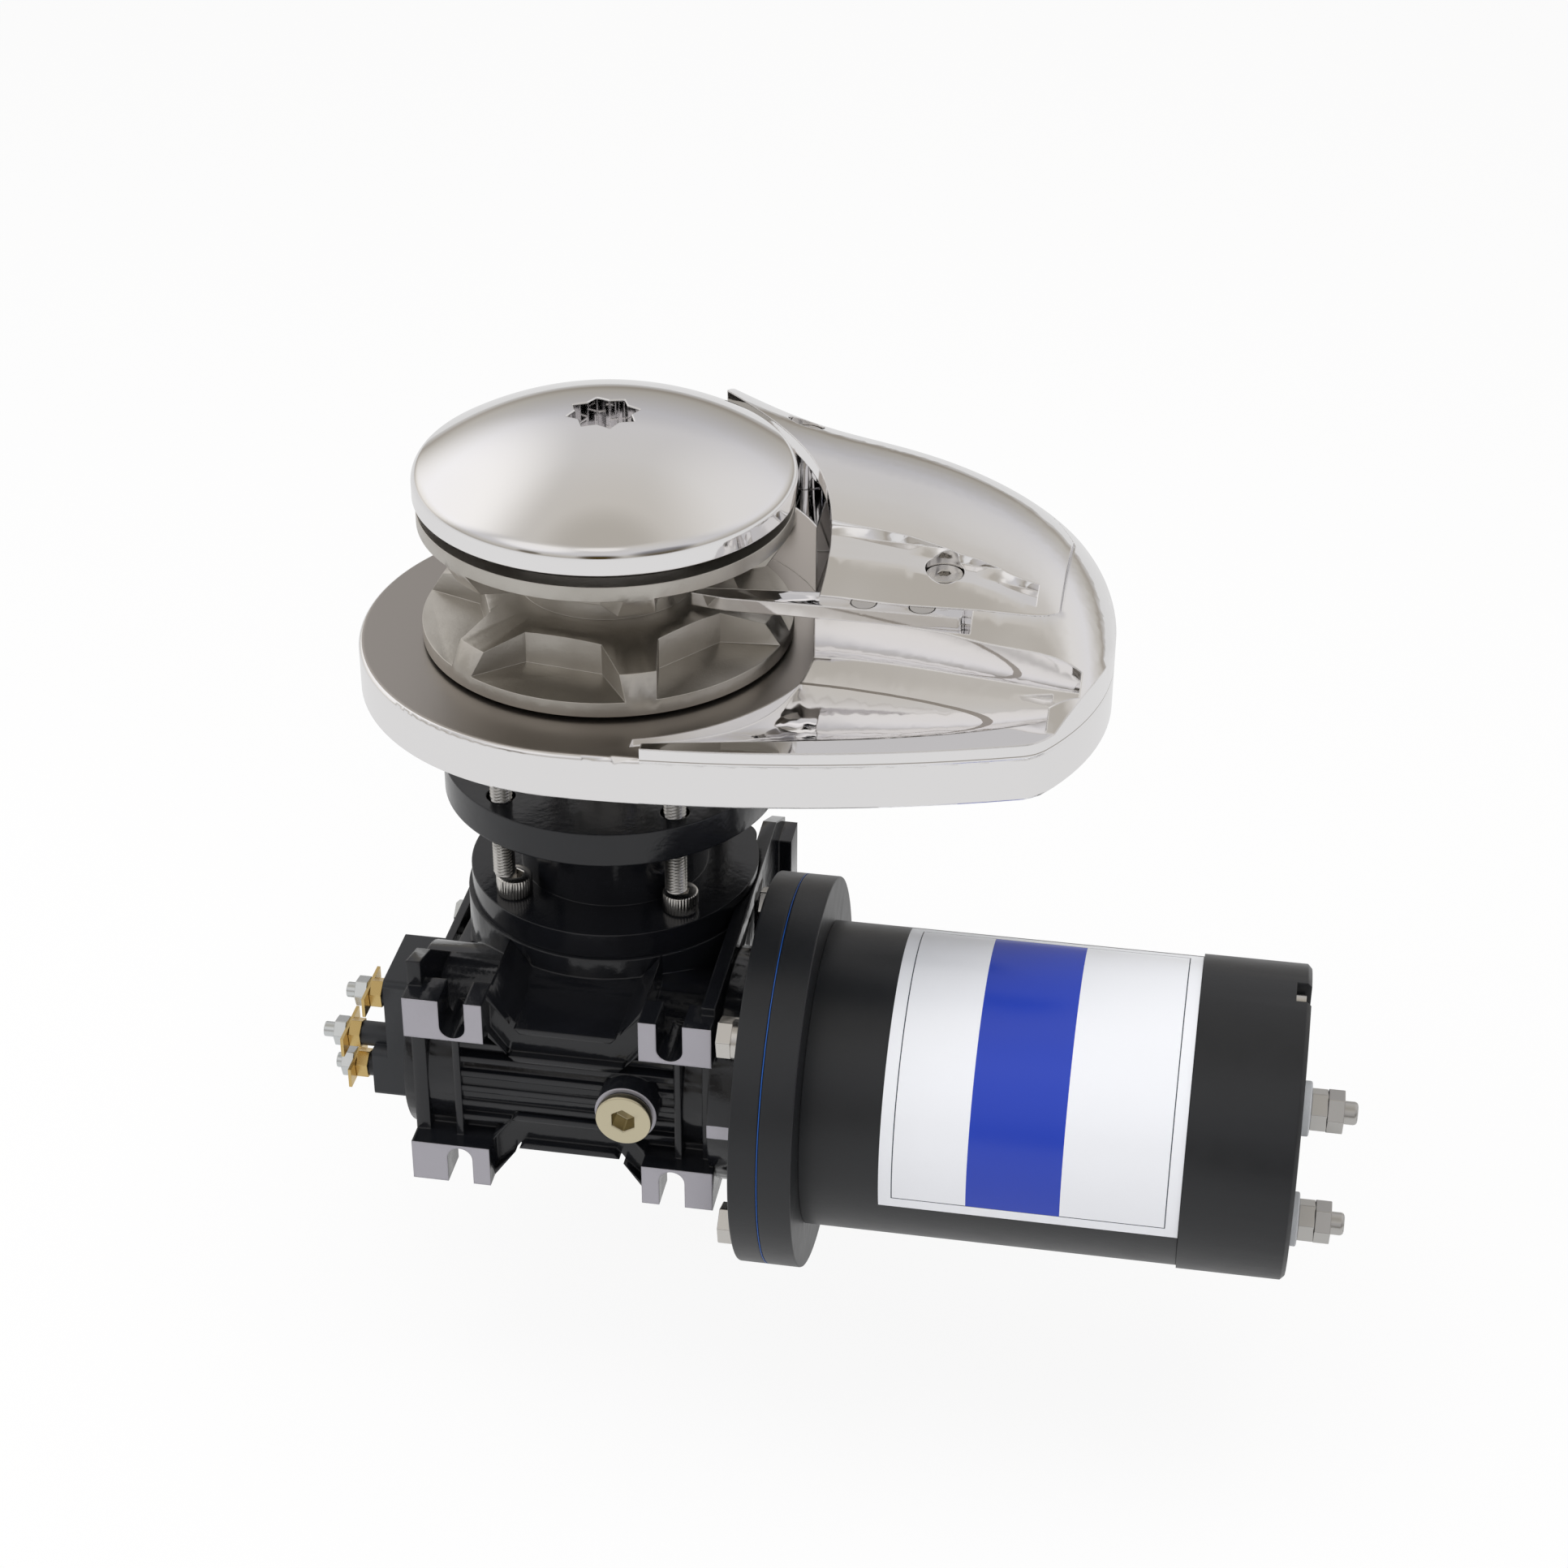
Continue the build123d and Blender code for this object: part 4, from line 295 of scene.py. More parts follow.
def soften_edges(material, radius):
    """Rounds the look of a material's hard edges by radius millimetres with a Bevel node."""
    tree = material.node_tree
    bevel = tree.nodes.new("ShaderNodeBevel")
    bevel.samples = 6
    bevel.inputs["Radius"].default_value = radius * MM
    for node in tree.nodes:
        if node.bl_idname == "ShaderNodeBump":
            tree.links.new(bevel.outputs[0], node.inputs["Normal"])


def new_material(name, color, metallic):
    """Material with a Principled shader; returns it with its tree and shader."""
    material = bpy.data.materials.new(name)
    material.use_nodes = True
    tree = material.node_tree
    shader = tree.nodes["Principled BSDF"]
    shader.inputs["Base Color"].default_value = (*color, 1.0)
    shader.inputs["Metallic"].default_value = metallic
    return material, tree, shader


def bump(tree, shader, height, distance, strength=1.0):
    """Connects a height socket to the shader's normal through a Bump node."""
    node = tree.nodes.new("ShaderNodeBump")
    node.inputs["Strength"].default_value = strength
    node.inputs["Distance"].default_value = distance * MM
    tree.links.new(height, node.inputs["Height"])
    tree.links.new(node.outputs["Normal"], shader.inputs["Normal"])


def cast_finish(name, color, tone, metallic=0.0, rough=0.3, spread=0.1, amount=0.4, grain=900.0, lump=60.0,
                depth=0.03, coat=0.0):
    """Cast, moulded or painted finish from the Cast grain group."""
    material, tree, shader = new_material(name, color, metallic)
    skin = tree.nodes.new("ShaderNodeGroup")
    skin.node_tree = bpy.data.node_groups["Cast grain"]
    skin.inputs["Base"].default_value = (*color, 1.0)
    skin.inputs["Tone"].default_value = (*tone, 1.0)
    skin.inputs["Amount"].default_value = amount
    skin.inputs["Grain scale"].default_value = grain
    skin.inputs["Lump scale"].default_value = lump
    skin.inputs["Roughness"].default_value = rough
    skin.inputs["Roughness spread"].default_value = spread
    tree.links.new(skin.outputs["Color"], shader.inputs["Base Color"])
    tree.links.new(skin.outputs["Roughness"], shader.inputs["Roughness"])
    shader.inputs["Coat Weight"].default_value = coat
    shader.inputs["Coat Roughness"].default_value = 0.08
    bump(tree, shader, skin.outputs["Height"], depth)
    return material


def metal_finish(name, color, rough, spread, stretch=(1.0, 1.0, 1.0), scale=400.0, depth=0.004):
    """Polished, ground or brushed metal from the Polish lines group."""
    material, tree, shader = new_material(name, color, 1.0)
    lines = tree.nodes.new("ShaderNodeGroup")
    lines.node_tree = bpy.data.node_groups["Polish lines"]
    lines.inputs["Stretch"].default_value = stretch
    lines.inputs["Scale"].default_value = scale
    lines.inputs["Roughness"].default_value = rough
    lines.inputs["Spread"].default_value = spread
    tree.links.new(lines.outputs["Roughness"], shader.inputs["Roughness"])
    bump(tree, shader, lines.outputs["Height"], depth)
    return material


# The label: its ends along X, its turn about the motor (0 faces the front, 90 is up) and what is printed on it, in mm
LABEL_X = (113.5, 216.5)
LABEL_TURN = (-16, 116)
LABEL_R = 54.6
MOTOR_AXIS_Y, MOTOR_AXIS_Z = -50, -129
BAND_X = (143.7, 176.0)
BORDER_INSET = (4.4, 4.8)
BAND_INSET = 4.6


def print_label(material, band_color):
    """Adds the label's band and its thin border line, by the place along and around the motor."""
    tree = material.node_tree
    shader = tree.nodes["Principled BSDF"]
    split = split_place(tree)
    up = math_node(tree, "ADD", split.outputs["Z"], -MOTOR_AXIS_Z * MM)
    front = math_node(tree, "MULTIPLY", math_node(tree, "ADD", split.outputs["Y"], -MOTOR_AXIS_Y * MM), -1.0)
    around = math_node(tree, "MULTIPLY", math_node(tree, "ARCTAN2", up, front), LABEL_R * MM)
    low, high = (radians(turn) * LABEL_R for turn in LABEL_TURN)

    def inside(ends, inset):
        return math_node(tree, "MULTIPLY", between(tree, split.outputs["X"], *ends),
                         between(tree, around, low + inset, high - inset))

    outer, inner = (inside((LABEL_X[0] + inset, LABEL_X[1] - inset), inset) for inset in BORDER_INSET)
    mix_into(tree, shader, math_node(tree, "SUBTRACT", outer, inner), (0.05, 0.06, 0.08))
    mix_into(tree, shader, inside(BAND_X, BAND_INSET), band_color)
    return material


FINISHES = {}
# Nodes whose finish isn't simply that of their slot
SURFACE = {"deck_plate": "plate", "gearbox_housing": "housing", "oil_plug": "yellow_zinc", "chain_wheel": "bare_cast"}
PLATE_TOP_Z = (16.5, 16.9)
FOOT_PAD_Y = (-92.5, -91.9)
SOFT_EDGES = {"housing": 1.0, "black_paint": 0.8, "plate": 0.9, "polished_steel": 0.7, "satin_black": 0.6,
              "black_plastic": 0.5}


def make_finishes(colors):
    """One material for each slot of the record, plus those of single surfaces."""
    cast_grain_group()
    polish_lines_group()
    between_group()
    f = FINISHES
    f["polished_steel"] = metal_finish("Polished stainless", colors.polish, 0.02, 0.05, scale=120.0, depth=0.01)
    f["satin_steel"] = metal_finish("Satin stainless", (0.52, 0.51, 0.49), 0.26, 0.12, (1, 1, 6), 300.0)
    f["bright_steel"] = metal_finish("Bright steel", (0.62, 0.60, 0.57), 0.16, 0.12)
    f["gear_bronze"] = metal_finish("Gear bronze", (0.62, 0.40, 0.18), 0.25, 0.1)
    f["brass"] = metal_finish("Brass", (0.66, 0.48, 0.20), 0.2, 0.12)
    f["zinc"] = metal_finish("Zinc plate", (0.66, 0.68, 0.68), 0.2, 0.1)
    f["black_paint"] = cast_finish("Gloss black paint", colors.paint, (0.012, 0.013, 0.017), 0, 0.12, 0.1,
                                   0.5, 500.0, 90.0, 0.05)
    f["satin_black"] = cast_finish("Satin black paint", (0.007, 0.008, 0.010), (0.013, 0.014, 0.016), 0, 0.34, 0.1,
                                   0.5, 1400.0, 120.0, 0.02)
    f["black_rubber"] = cast_finish("Black rubber", (0.012, 0.012, 0.012), (0.02, 0.02, 0.02), 0, 0.6, 0.1)
    f["black_plastic"] = cast_finish("Black plastic", (0.014, 0.016, 0.02), (0.02, 0.022, 0.026), 0, 0.4, 0.1)
    f["grey_plastic"] = cast_finish("Grey plastic", (0.50, 0.52, 0.54), (0.44, 0.46, 0.5), 0, 0.45, 0.1)
    f["blue_sealant"] = cast_finish("Blue sealant", (0.012, 0.10, 0.42), (0.01, 0.06, 0.3), 0, 0.35, 0.1)
    f["white_label"] = print_label(
        cast_finish("Printed label", (0.80, 0.82, 0.86), (0.78, 0.8, 0.85), 0, 0.2, 0.06, 0.3, 1500.0, 40.0, 0.004),
        colors.band)
    f["core_iron"] = cast_finish("Core iron", (0.10, 0.10, 0.10), (0.14, 0.12, 0.11), 1, 0.4, 0.2)
    f["magnet"] = cast_finish("Magnet", (0.06, 0.06, 0.065), (0.08, 0.08, 0.08), 0, 0.5, 0.1)
    f["copper"] = metal_finish("Copper", (0.75, 0.38, 0.22), 0.2, 0.1)
    f["carbon"] = cast_finish("Carbon", (0.03, 0.03, 0.03), (0.05, 0.05, 0.05), 0, 0.6, 0.1)
    f["bush_plastic"] = cast_finish("Bush plastic", (0.70, 0.69, 0.62), (0.66, 0.64, 0.58), 0, 0.5, 0.1)
    f["bare_cast"] = cast_finish("Bead-blasted casting", (0.62, 0.60, 0.56), (0.40, 0.37, 0.33), 1, 0.26, 0.2, 0.9,
                                 700.0, 45.0, 0.06)
    f["plate"] = metal_finish("Deck plate stainless", colors.polish, 0.02, 0.05, scale=120.0, depth=0.01)
    tree = f["plate"].node_tree
    mask = between(tree, split_place(tree).outputs["Z"], *PLATE_TOP_Z)
    mix_into(tree, tree.nodes["Principled BSDF"], mask, (0.42, 0.39, 0.36), 0.33)
    f["housing"] = cast_finish("Gearbox paint", colors.paint, (0.012, 0.013, 0.017), 0, 0.10, 0.12,
                               0.5, 420.0, 80.0, 0.07)
    tree = f["housing"].node_tree
    mask = between(tree, split_place(tree).outputs["Y"], *FOOT_PAD_Y)
    mix_into(tree, tree.nodes["Principled BSDF"], mask, (0.42, 0.41, 0.45), 0.42, 0.6)
    for name, radius in SOFT_EDGES.items():
        soften_edges(f[name], radius)
    f["yellow_zinc"] = metal_finish("Yellow zinc", (0.62, 0.56, 0.40), 0.26, 0.16, scale=90.0)


SHARP_EDGE = 32  # degrees


def soft_edge_nodes():
    """Geometry node tree: joins loose triangles and shades them smooth except across sharp edges."""
    tree = bpy.data.node_groups.new("Soft shading", "GeometryNodeTree")
    tree.interface.new_socket("Geometry", in_out="INPUT", socket_type="NodeSocketGeometry")
    tree.interface.new_socket("Geometry", in_out="OUTPUT", socket_type="NodeSocketGeometry")
    start, end = tree.nodes.new("NodeGroupInput"), tree.nodes.new("NodeGroupOutput")
    merge = tree.nodes.new("GeometryNodeMergeByDistance")
    merge.inputs["Distance"].default_value = 1e-6
    faces = tree.nodes.new("GeometryNodeSetShadeSmooth")
    faces.domain = "FACE"
    edges = tree.nodes.new("GeometryNodeSetShadeSmooth")
    edges.domain = "EDGE"
    edges.inputs["Shade Smooth"].default_value = False
    turn = tree.nodes.new("GeometryNodeInputMeshEdgeAngle")
    over = tree.nodes.new("FunctionNodeCompare")
    over.operation = "GREATER_THAN"
    over.inputs[1].default_value = radians(SHARP_EDGE)
    link = tree.links.new
    link(start.outputs[0], merge.inputs["Geometry"])
    link(merge.outputs[0], faces.inputs["Geometry"])
    link(faces.outputs[0], edges.inputs["Geometry"])
    link(turn.outputs["Unsigned Angle"], over.inputs[0])
    link(over.outputs[0], edges.inputs["Selection"])
    link(edges.outputs[0], end.inputs[0])
    return tree


# ------------------------------------------------------------------------------------- operators

# Tone of the world from straight below (0) over the horizon (0.5) to straight above (1)
SKY_TONES = ((0.0, (0.62, 0.60, 0.58)), (0.30, (0.85, 0.85, 0.86)), (0.46, (0.80, 0.79, 0.78)),
             (0.50, (0.52, 0.48, 0.43)), (0.54, (0.68, 0.65, 0.60)), (0.70, (0.84, 0.83, 0.85)),
             (0.90, (0.84, 0.82, 0.80)), (1.0, (0.78, 0.74, 0.68)))
# Direction, inner and outer half angle in degrees, and gain of each soft window or dark wall of the studio
SOFT_WINDOWS = (((-1.0, 0.45, 0.55), 18, 42, 0.5), ((-0.6, -0.9, 0.9), 8, 26, 0.35), ((0.9, 0.7, 0.8), 10, 40, 0.2),
                ((0.1, -0.7, 1.0), 6, 14, 0.3), ((0.8, -0.8, 0.25), 8, 22, -0.5), ((-0.1, 0.9, 0.2), 6, 24, -0.15),
                ((0.15, -1.0, 0.1), 3, 15, -0.6), ((-0.6, -1.0, 0.12), 3, 9, -0.45), ((0.0, -0.1, 1.0), 8, 22, -0.15))


FLOOR_Z = -0.26  # metres, below the motor
FLOOR_GLOW = 0.88  # share of plain white in the floor that the camera and mirrors see
MIRRORED_FLOOR = 0.75  # brightness of the floor in mirror reflections


class ColorSettings(bpy.types.PropertyGroup):
    """Colours of the main finishes."""
    polish: bpy.props.FloatVectorProperty(name="Polish", description="Polished stainless steel",
                                          default=(0.87, 0.86, 0.86), min=0, max=1, subtype="COLOR")
    paint: bpy.props.FloatVectorProperty(name="Paint", description="Gloss paint of the gearbox and adaptor",
                                         default=(0.006, 0.0065, 0.008), min=0, max=1, subtype="COLOR")
    band: bpy.props.FloatVectorProperty(name="Label band", description="Band on the motor's label",
                                        default=(0.013, 0.045, 0.42), min=0, max=1, subtype="COLOR")


class StageSettings(bpy.types.PropertyGroup):
    """Camera and light."""
    yaw: bpy.props.FloatProperty(name="Yaw", description="Turn of the camera about Z", default=radians(-9.589),
                                 subtype="ANGLE")
    pitch: bpy.props.FloatProperty(name="Pitch", description="How far the camera looks down",
                                   default=radians(31.594), subtype="ANGLE")
    roll: bpy.props.FloatProperty(name="Roll", description="Turn about the line of sight", default=radians(0.283),
                                  subtype="ANGLE")
    target_x: bpy.props.FloatProperty(name="Target X", description="Point looked at, mm", default=62.49)
    target_z: bpy.props.FloatProperty(name="Target Z", description="Point looked at, mm", default=-41.14)
    distance: bpy.props.FloatProperty(name="Distance", description="Camera to target, mm", default=1132.75)
    focal: bpy.props.FloatProperty(name="Focal length", description="In pixels of the photograph's 1932",
                                   default=3900.58)
    sky: bpy.props.FloatProperty(name="Sky", description="Strength of the world's light", default=0.75, min=0.0)


class WINDLASS_OT_stage(bpy.types.Operator):
    """Camera, floor, world and lamps"""
    bl_idname = "windlass.stage"
    bl_label = "Stage"

    def execute(self, context):
        s = context.scene.windlass_stage
        forward = Vector((sin(s.yaw) * cos(s.pitch), cos(s.yaw) * cos(s.pitch), -sin(s.pitch)))
        right = Vector((cos(s.yaw), -sin(s.yaw), 0))
        up = right.cross(forward)
        right, up = right * cos(s.roll) + up * sin(s.roll), up * cos(s.roll) - right * sin(s.roll)
        camera = bpy.data.objects.new("Camera", bpy.data.cameras.new("Camera"))
        context.scene.collection.objects.link(camera)
        place = (Vector((s.target_x, 0, s.target_z)) - forward * s.distance) * MM
        camera.matrix_world = Matrix.Translation(place) @ Matrix((right, up, -forward)).transposed().to_4x4()
        camera.data.sensor_width = 36.0
        camera.data.sensor_fit = "HORIZONTAL"
        camera.data.lens = s.focal / 1932 * 36.0
        camera.data.clip_end = 20
        context.scene.camera = camera
        context.scene.view_settings.view_transform = "Standard"
        self.world(context, s)
        self.lamps(context)
        self.floor(context)
        return {"FINISHED"}

    def world(self, context, s):
        """White to the camera; to the object a bright ceiling over darker, uneven walls."""
        world = bpy.data.worlds.new("Studio")
        context.scene.world = world
        world.use_nodes = True
        tree = world.node_tree
        tree.nodes.clear()
        link = tree.links.new
        where = tree.nodes.new("ShaderNodeTexCoord")
        split = tree.nodes.new("ShaderNodeSeparateXYZ")
        link(where.outputs["Generated"], split.inputs[0])
        ramp = tree.nodes.new("ShaderNodeValToRGB")
        stops = ramp.color_ramp.elements
        stops[0].color, stops[1].color = ((*tone, 1) for _, tone in (SKY_TONES[0], SKY_TONES[-1]))
        for at, tone in SKY_TONES[1:-1]:
            stops.new(at).color = (*tone, 1)
        height = tree.nodes.new("ShaderNodeMath")
        height.operation = "MULTIPLY_ADD"
        height.inputs[1].default_value = 0.5
        height.inputs[2].default_value = 0.5
        link(split.outputs["Z"], height.inputs[0])
        link(height.outputs[0], ramp.inputs["Fac"])
        sky = ramp.outputs["Color"]
        for direction, inner, outer, gain in SOFT_WINDOWS:
            near = tree.nodes.new("ShaderNodeVectorMath")
            near.operation = "DOT_PRODUCT"
            near.inputs[1].default_value = Vector(direction).normalized()
            link(where.outputs["Generated"], near.inputs[0])
            fade = tree.nodes.new("ShaderNodeMapRange")
            fade.interpolation_type = "SMOOTHSTEP"
            fade.inputs["From Min"].default_value = cos(radians(outer))
            fade.inputs["From Max"].default_value = cos(radians(inner))
            fade.inputs["To Max"].default_value = abs(gain)
            link(near.outputs["Value"], fade.inputs["Value"])
            add = tree.nodes.new("ShaderNodeMix")
            add.data_type, add.blend_type = "RGBA", "ADD" if gain > 0 else "SUBTRACT"
            add.inputs["B"].default_value = (1.0, 0.99, 0.97, 1)
            link(fade.outputs["Result"], add.inputs["Factor"])
            link(sky, add.inputs["A"])
            sky = add.outputs["Result"]
        ray = tree.nodes.new("ShaderNodeLightPath")
        mix = tree.nodes.new("ShaderNodeMix")
        mix.data_type = "RGBA"
        link(ray.outputs["Is Camera Ray"], mix.inputs["Factor"])
        link(sky, mix.inputs["A"])
        mix.inputs["B"].default_value = (1, 1, 1, 1)
        strength = tree.nodes.new("ShaderNodeMix")
        link(ray.outputs["Is Camera Ray"], strength.inputs["Factor"])
        strength.inputs["A"].default_value = s.sky
        strength.inputs["B"].default_value = 1.0
        background = tree.nodes.new("ShaderNodeBackground")
        link(mix.outputs["Result"], background.inputs["Color"])
        link(strength.outputs["Result"], background.inputs["Strength"])
        out = tree.nodes.new("ShaderNodeOutputWorld")
        link(background.outputs[0], out.inputs["Surface"])

    def lamps(self, context):
        """Large soft lamps: one above, one from the left, one from the front right."""
        for name, place, size, power in (
                ("Ceiling lamp", (0.1, -0.1, 1.5), (1.6, 1.0), 11),
                ("Left lamp", (-1.4, -0.5, 0.7), (0.7, 1.2), 7),
                ("Front lamp", (0.9, -1.5, 0.9), (0.9, 0.6), 7)):
            data = bpy.data.lights.new(name, "AREA")
            data.shape = "RECTANGLE"
            data.size, data.size_y = size
            data.energy = power
            lamp = bpy.data.objects.new(name, data)
            lamp.visible_glossy = False
            context.scene.collection.objects.link(lamp)
            aim = Vector((0.06, 0, -0.05)) - Vector(place)
            lamp.matrix_world = Matrix.Translation(place) @ aim.to_track_quat("-Z", "Y").to_matrix().to_4x4()

    def floor(self, context):
        """A round white floor below the motor, white to the camera apart from the object's shadow."""
        angles = turn_of(96)
        points = np.stack([4 * np.cos(angles) + 0.06, 4 * np.sin(angles), np.full(96, FLOOR_Z)], 1)
        mesh = bpy.data.meshes.new("Floor")
        mesh.from_pydata(points.tolist(), [], [list(range(96))])
        floor = bpy.data.objects.new("Floor", mesh)
        context.scene.collection.objects.link(floor)
        material, tree, shader = new_material("Studio floor", (0.86, 0.86, 0.87), 0.0)
        shader.inputs["Roughness"].default_value = 0.9
        shader.inputs["Specular IOR Level"].default_value = 0.0
        ray = tree.nodes.new("ShaderNodeLightPath")
        glow = tree.nodes.new("ShaderNodeEmission")
        mix = tree.nodes.new("ShaderNodeMixShader")
        share = tree.nodes.new("ShaderNodeMath")
        share.operation = "MULTIPLY"
        share.inputs[1].default_value = FLOOR_GLOW
        seen = tree.nodes.new("ShaderNodeMath")
        seen.operation = "MAXIMUM"
        tree.links.new(ray.outputs["Is Camera Ray"], seen.inputs[0])
        tree.links.new(ray.outputs["Is Glossy Ray"], seen.inputs[1])
        tree.links.new(seen.outputs[0], share.inputs[0])
        tree.links.new(share.outputs[0], mix.inputs[0])
        mirrored = tree.nodes.new("ShaderNodeMath")
        mirrored.operation = "MULTIPLY_ADD"
        mirrored.inputs[1].default_value = MIRRORED_FLOOR - 1.0
        mirrored.inputs[2].default_value = 1.0
        tree.links.new(ray.outputs["Is Glossy Ray"], mirrored.inputs[0])
        tree.links.new(mirrored.outputs[0], glow.inputs["Strength"])
        tree.links.new(shader.outputs[0], mix.inputs[1])
        tree.links.new(glow.outputs[0], mix.inputs[2])
        tree.links.new(mix.outputs[0], tree.nodes["Material Output"].inputs["Surface"])
        mesh.materials.append(material)


class WINDLASS_OT_finishes(bpy.types.Operator):
    """Makes the materials"""
    bl_idname = "windlass.finishes"
    bl_label = "Finishes"

    def execute(self, context):
        make_finishes(context.scene.windlass_colors)
        return {"FINISHED"}


class WINDLASS_OT_castings(bpy.types.Operator):
    """Gives every CAD piece its finish and soft shading"""
    bl_idname = "windlass.castings"
    bl_label = "Finish CAD pieces"

    def execute(self, context):
        shading = soft_edge_nodes()
        for name, piece in frame["nodes"].items():
            piece.data.materials.clear()
            piece.data.materials.append(FINISHES[SURFACE.get(name, SLOT_OF[name])])
            modifier = piece.modifiers.new("Soft shading", "NODES")
            modifier.node_group = shading
            if name in ("deck_plate", "chain_cover"):
                weighted = piece.modifiers.new("Even faces", "WEIGHTED_NORMAL")
                weighted.keep_sharp = True
        return {"FINISHED"}


UP, DOWN, RIGHT = (0, 0, 1), (0, 0, -1), (1, 0, 0)

# Clutch cap below the crown, as (radius, height) in mm: the edge's arc and the underside
CAP_EDGE_R = 6
CAP_EDGE_CENTRE = (60, 76.655)
CAP_CROWN_END = 63.19  # radius where the crown meets the edge's arc
CAP_EDGE_START = 1.01  # angle of that point on the arc, in radians
CAP_UNDERSIDE = [(66, 71.8), (64.5, 70.4), (60, 71.0), (30, 73), (30, 68.6), (13, 68.6)]
SOCKET_CHAMFER = 0.4


class CapSettings(bpy.types.PropertyGroup):
    """Clutch cap."""
    radius: bpy.props.FloatProperty(name="Crown radius", description="Curve of the crown, mm", default=119.0, min=80)
    top: bpy.props.FloatProperty(name="Top", description="Height of the crown above the deck, mm", default=99.9)
    socket: bpy.props.FloatProperty(name="Socket", description="Side of the two squares of the star, mm",
                                    default=17.75, min=8, max=30)
    depth: bpy.props.FloatProperty(name="Socket depth", description="Depth of the star socket, mm", default=16.0)


class WINDLASS_OT_cap(bpy.types.Operator):
    """Polished clutch cap with its star socket"""
    bl_idname = "windlass.cap"
    bl_label = "Clutch cap"

    def execute(self, context):
        """Surface of revolution: z = top - R + sqrt(R^2 - r^2) on the crown, an arc at the edge.

        The socket's outline is the larger of two squares' radii, (s / 2) / max(|cos a|, |sin a|), 45 degrees apart.
        """
        cap = context.scene.windlass_cap
        angles = turn_of(384)
        squares = [np.maximum(np.abs(np.cos(angles - radians(t))), np.abs(np.sin(angles - radians(t))))
                   for t in (22.5, 67.5)]
        star = cap.socket / 2 / np.minimum(*squares)
        floor = cap.top - cap.depth

        def crown(r):
            return r, cap.top - cap.radius + np.sqrt(cap.radius ** 2 - np.asarray(r) ** 2)

        start = star + SOCKET_CHAMFER
        rings = [(star * 0.02, floor), (star, floor), (star, crown(star)[1] - SOCKET_CHAMFER), crown(start)]
        rings += [crown(start + (CAP_CROWN_END - start) * part) for part in np.linspace(0.02, 1, 60)]
        rings += [(CAP_EDGE_CENTRE[0] + CAP_EDGE_R * cos(t), CAP_EDGE_CENTRE[1] + CAP_EDGE_R * sin(t))
                  for t in np.linspace(CAP_EDGE_START, 0, 16)[1:]]
        rings += CAP_UNDERSIDE
        shell = Shell()
        shell.lathe(rings, ((0, 0, 0), UP, RIGHT))
        shell.piece("clutch_cap_skin", "clutch_cap", "polished_steel", "clutch_cap", 32)
        return {"FINISHED"}


STUD_X, STUD_Y, STUD_R, STUD_LENGTH = 31, 40.5, 4.0, 64
STUD_TAP_R, STUD_TAP_LENGTH = 3.6, 11.9
FOOT_SCREW_XY = 30.4
FOOT_HEAD_Z = -78.28
KNURL_R, KNURL_DEPTH, KNURL_COLUMNS = 6.5, 0.3, 144


class WINDLASS_OT_screws(bpy.types.Operator):
    """Threaded deck studs and knurled foot screws"""
    bl_idname = "windlass.screws"
    bl_label = "Studs and foot screws"

    def execute(self, context):
        """Rings r(angle, height) along each screw's axis: a thread, or a head with a knurl of square ridges."""
        studs = Shell()
        for x in (-STUD_X, STUD_X):
            for y in (-STUD_Y, STUD_Y):
                studs.lathe(thread_rings(STUD_R, 0, STUD_LENGTH), ((x, y, 0), DOWN, RIGHT))
                studs.lathe([(STUD_TAP_R, 0), (STUD_TAP_R, STUD_TAP_LENGTH)], ((x, y, 0), UP, RIGHT))
        studs.piece("stud_threads", "housing", "satin_steel", "deck_studs", 50)
        heads = Shell()
        knurl = KNURL_R - KNURL_DEPTH * (np.arange(KNURL_COLUMNS) % 4 // 2)
        socket = hexagon(6.0, KNURL_COLUMNS)
        for x in (-FOOT_SCREW_XY, FOOT_SCREW_XY):
            for y in (-FOOT_SCREW_XY, FOOT_SCREW_XY):
                place = ((x, y, FOOT_HEAD_Z), UP, RIGHT)
                heads.lathe([(5.9, 0), (6.2, 0.3), (knurl, 0.8), (knurl, 7.2), (6.2, 7.6), (5.6, 8), (socket + 0.3, 8),
                             (socket, 7.7), (socket, 3.5)], place)
                heads.lathe([(4.0, -19.7), (4.0, 0.1)], place)
        heads.piece("foot_screw_heads", "housing", "bright_steel", "adaptor_screws", 40)
        return {"FINISHED"}


# Width in millimetres of the edges that are broken on a copy of each CAD piece
BROKEN_EDGES = {"motor_flange": 1.0, "motor_shield": 1.0, "motor_end_cap": 0.8, "flange_bolts": 0.5,
                "terminal_nuts": 0.5, "terminal_studs": 0.6, "terminal_insulators": 0.6, "oil_plug": 0.5,
                "contactor_steel_nuts": 0.4, "contactor_brass_nuts": 0.4, "contactor_studs": 0.4,
                "contactor_tabs": 0.2, "contactor_body": 0.8, "cover_screws": 0.4, "adaptor": 1.0,
                "chain_wheel": 0.7, "chain_stripper": 0.5,
                "gearbox_housing": 0.6}


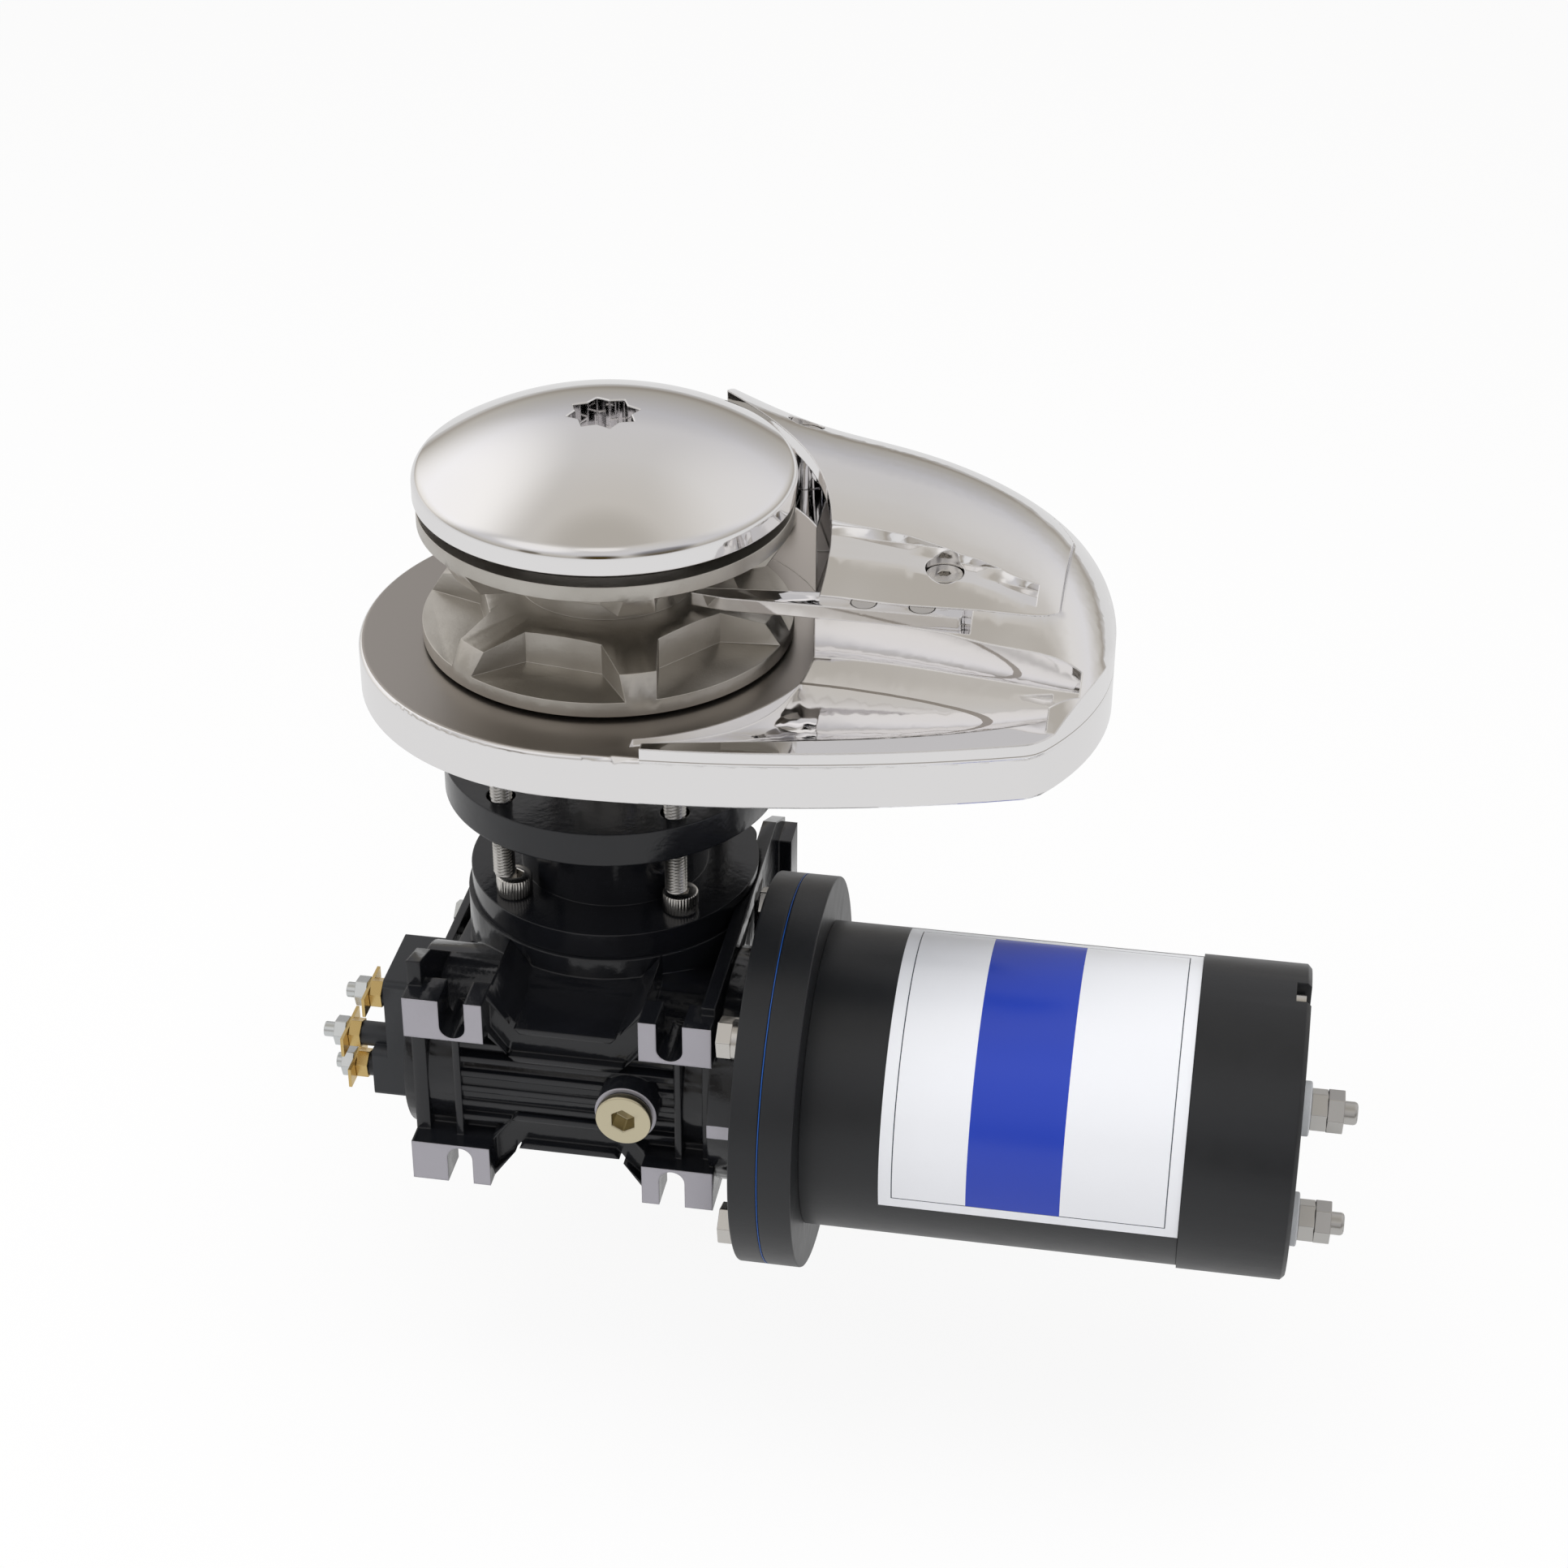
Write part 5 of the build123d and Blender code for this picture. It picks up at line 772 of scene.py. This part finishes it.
class WINDLASS_OT_edges(bpy.types.Operator):
    """Copies of plain CAD pieces with their sharp edges broken"""
    bl_idname = "windlass.edges"
    bl_label = "Broken edges"

    def execute(self, context):
        context.view_layer.update()
        for name, width in BROKEN_EDGES.items():
            source = frame["nodes"][name]
            mesh = source.data.copy()
            mesh.transform(source.matrix_world)
            form = bmesh.new()
            form.from_mesh(mesh)
            bmesh.ops.remove_doubles(form, verts=form.verts, dist=2e-6)
            bmesh.ops.dissolve_limit(form, angle_limit=radians(0.6), verts=form.verts, edges=form.edges)
            form.to_mesh(mesh)
            form.free()
            mesh.materials.clear()
            mesh.materials.append(FINISHES[SURFACE.get(name, SLOT_OF[name])])
            mesh.shade_smooth()
            mesh.set_sharp_from_angle(angle=radians(50))
            piece = bpy.data.objects.new(name + "_finished", mesh)
            context.scene.collection.objects.link(piece)
            bevel = piece.modifiers.new("Broken edges", "BEVEL")
            bevel.limit_method = "ANGLE"
            bevel.angle_limit = radians(40)
            bevel.width = width * MM
            bevel.segments = 2
            bevel.harden_normals = True
            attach(piece, BODY_OF[name])
            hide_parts(name)
        return {"FINISHED"}


STEPS = [WINDLASS_OT_finishes, WINDLASS_OT_stage, WINDLASS_OT_castings, WINDLASS_OT_cap, WINDLASS_OT_screws,
         WINDLASS_OT_edges]


class WINDLASS_PT_panel(bpy.types.Panel):
    """Lists the settings and the building steps in the sidebar"""
    bl_idname = "WINDLASS_PT_panel"
    bl_label = "Anchor windlass"
    bl_space_type = "VIEW_3D"
    bl_region_type = "UI"
    bl_category = "Windlass"

    def draw(self, context):
        scene = context.scene
        for group in (scene.windlass_colors, scene.windlass_cap, scene.windlass_stage):
            for name in group.__annotations__:
                self.layout.prop(group, name)
        for step in STEPS:
            self.layout.operator(step.bl_idname)


CLASSES = [ColorSettings, StageSettings, CapSettings, *STEPS, WINDLASS_PT_panel]


def register():
    for cls in CLASSES:
        bpy.utils.register_class(cls)
    bpy.types.Scene.windlass_colors = bpy.props.PointerProperty(type=ColorSettings)
    bpy.types.Scene.windlass_stage = bpy.props.PointerProperty(type=StageSettings)
    bpy.types.Scene.windlass_cap = bpy.props.PointerProperty(type=CapSettings)


def unregister():
    del bpy.types.Scene.windlass_cap
    del bpy.types.Scene.windlass_stage
    del bpy.types.Scene.windlass_colors
    for cls in reversed(CLASSES):
        bpy.utils.unregister_class(cls)


def main():
    register()
    for step in STEPS:
        group, action = step.bl_idname.split(".")
        getattr(getattr(bpy.ops, group), action)()


if __name__ == "__main__":
    main()
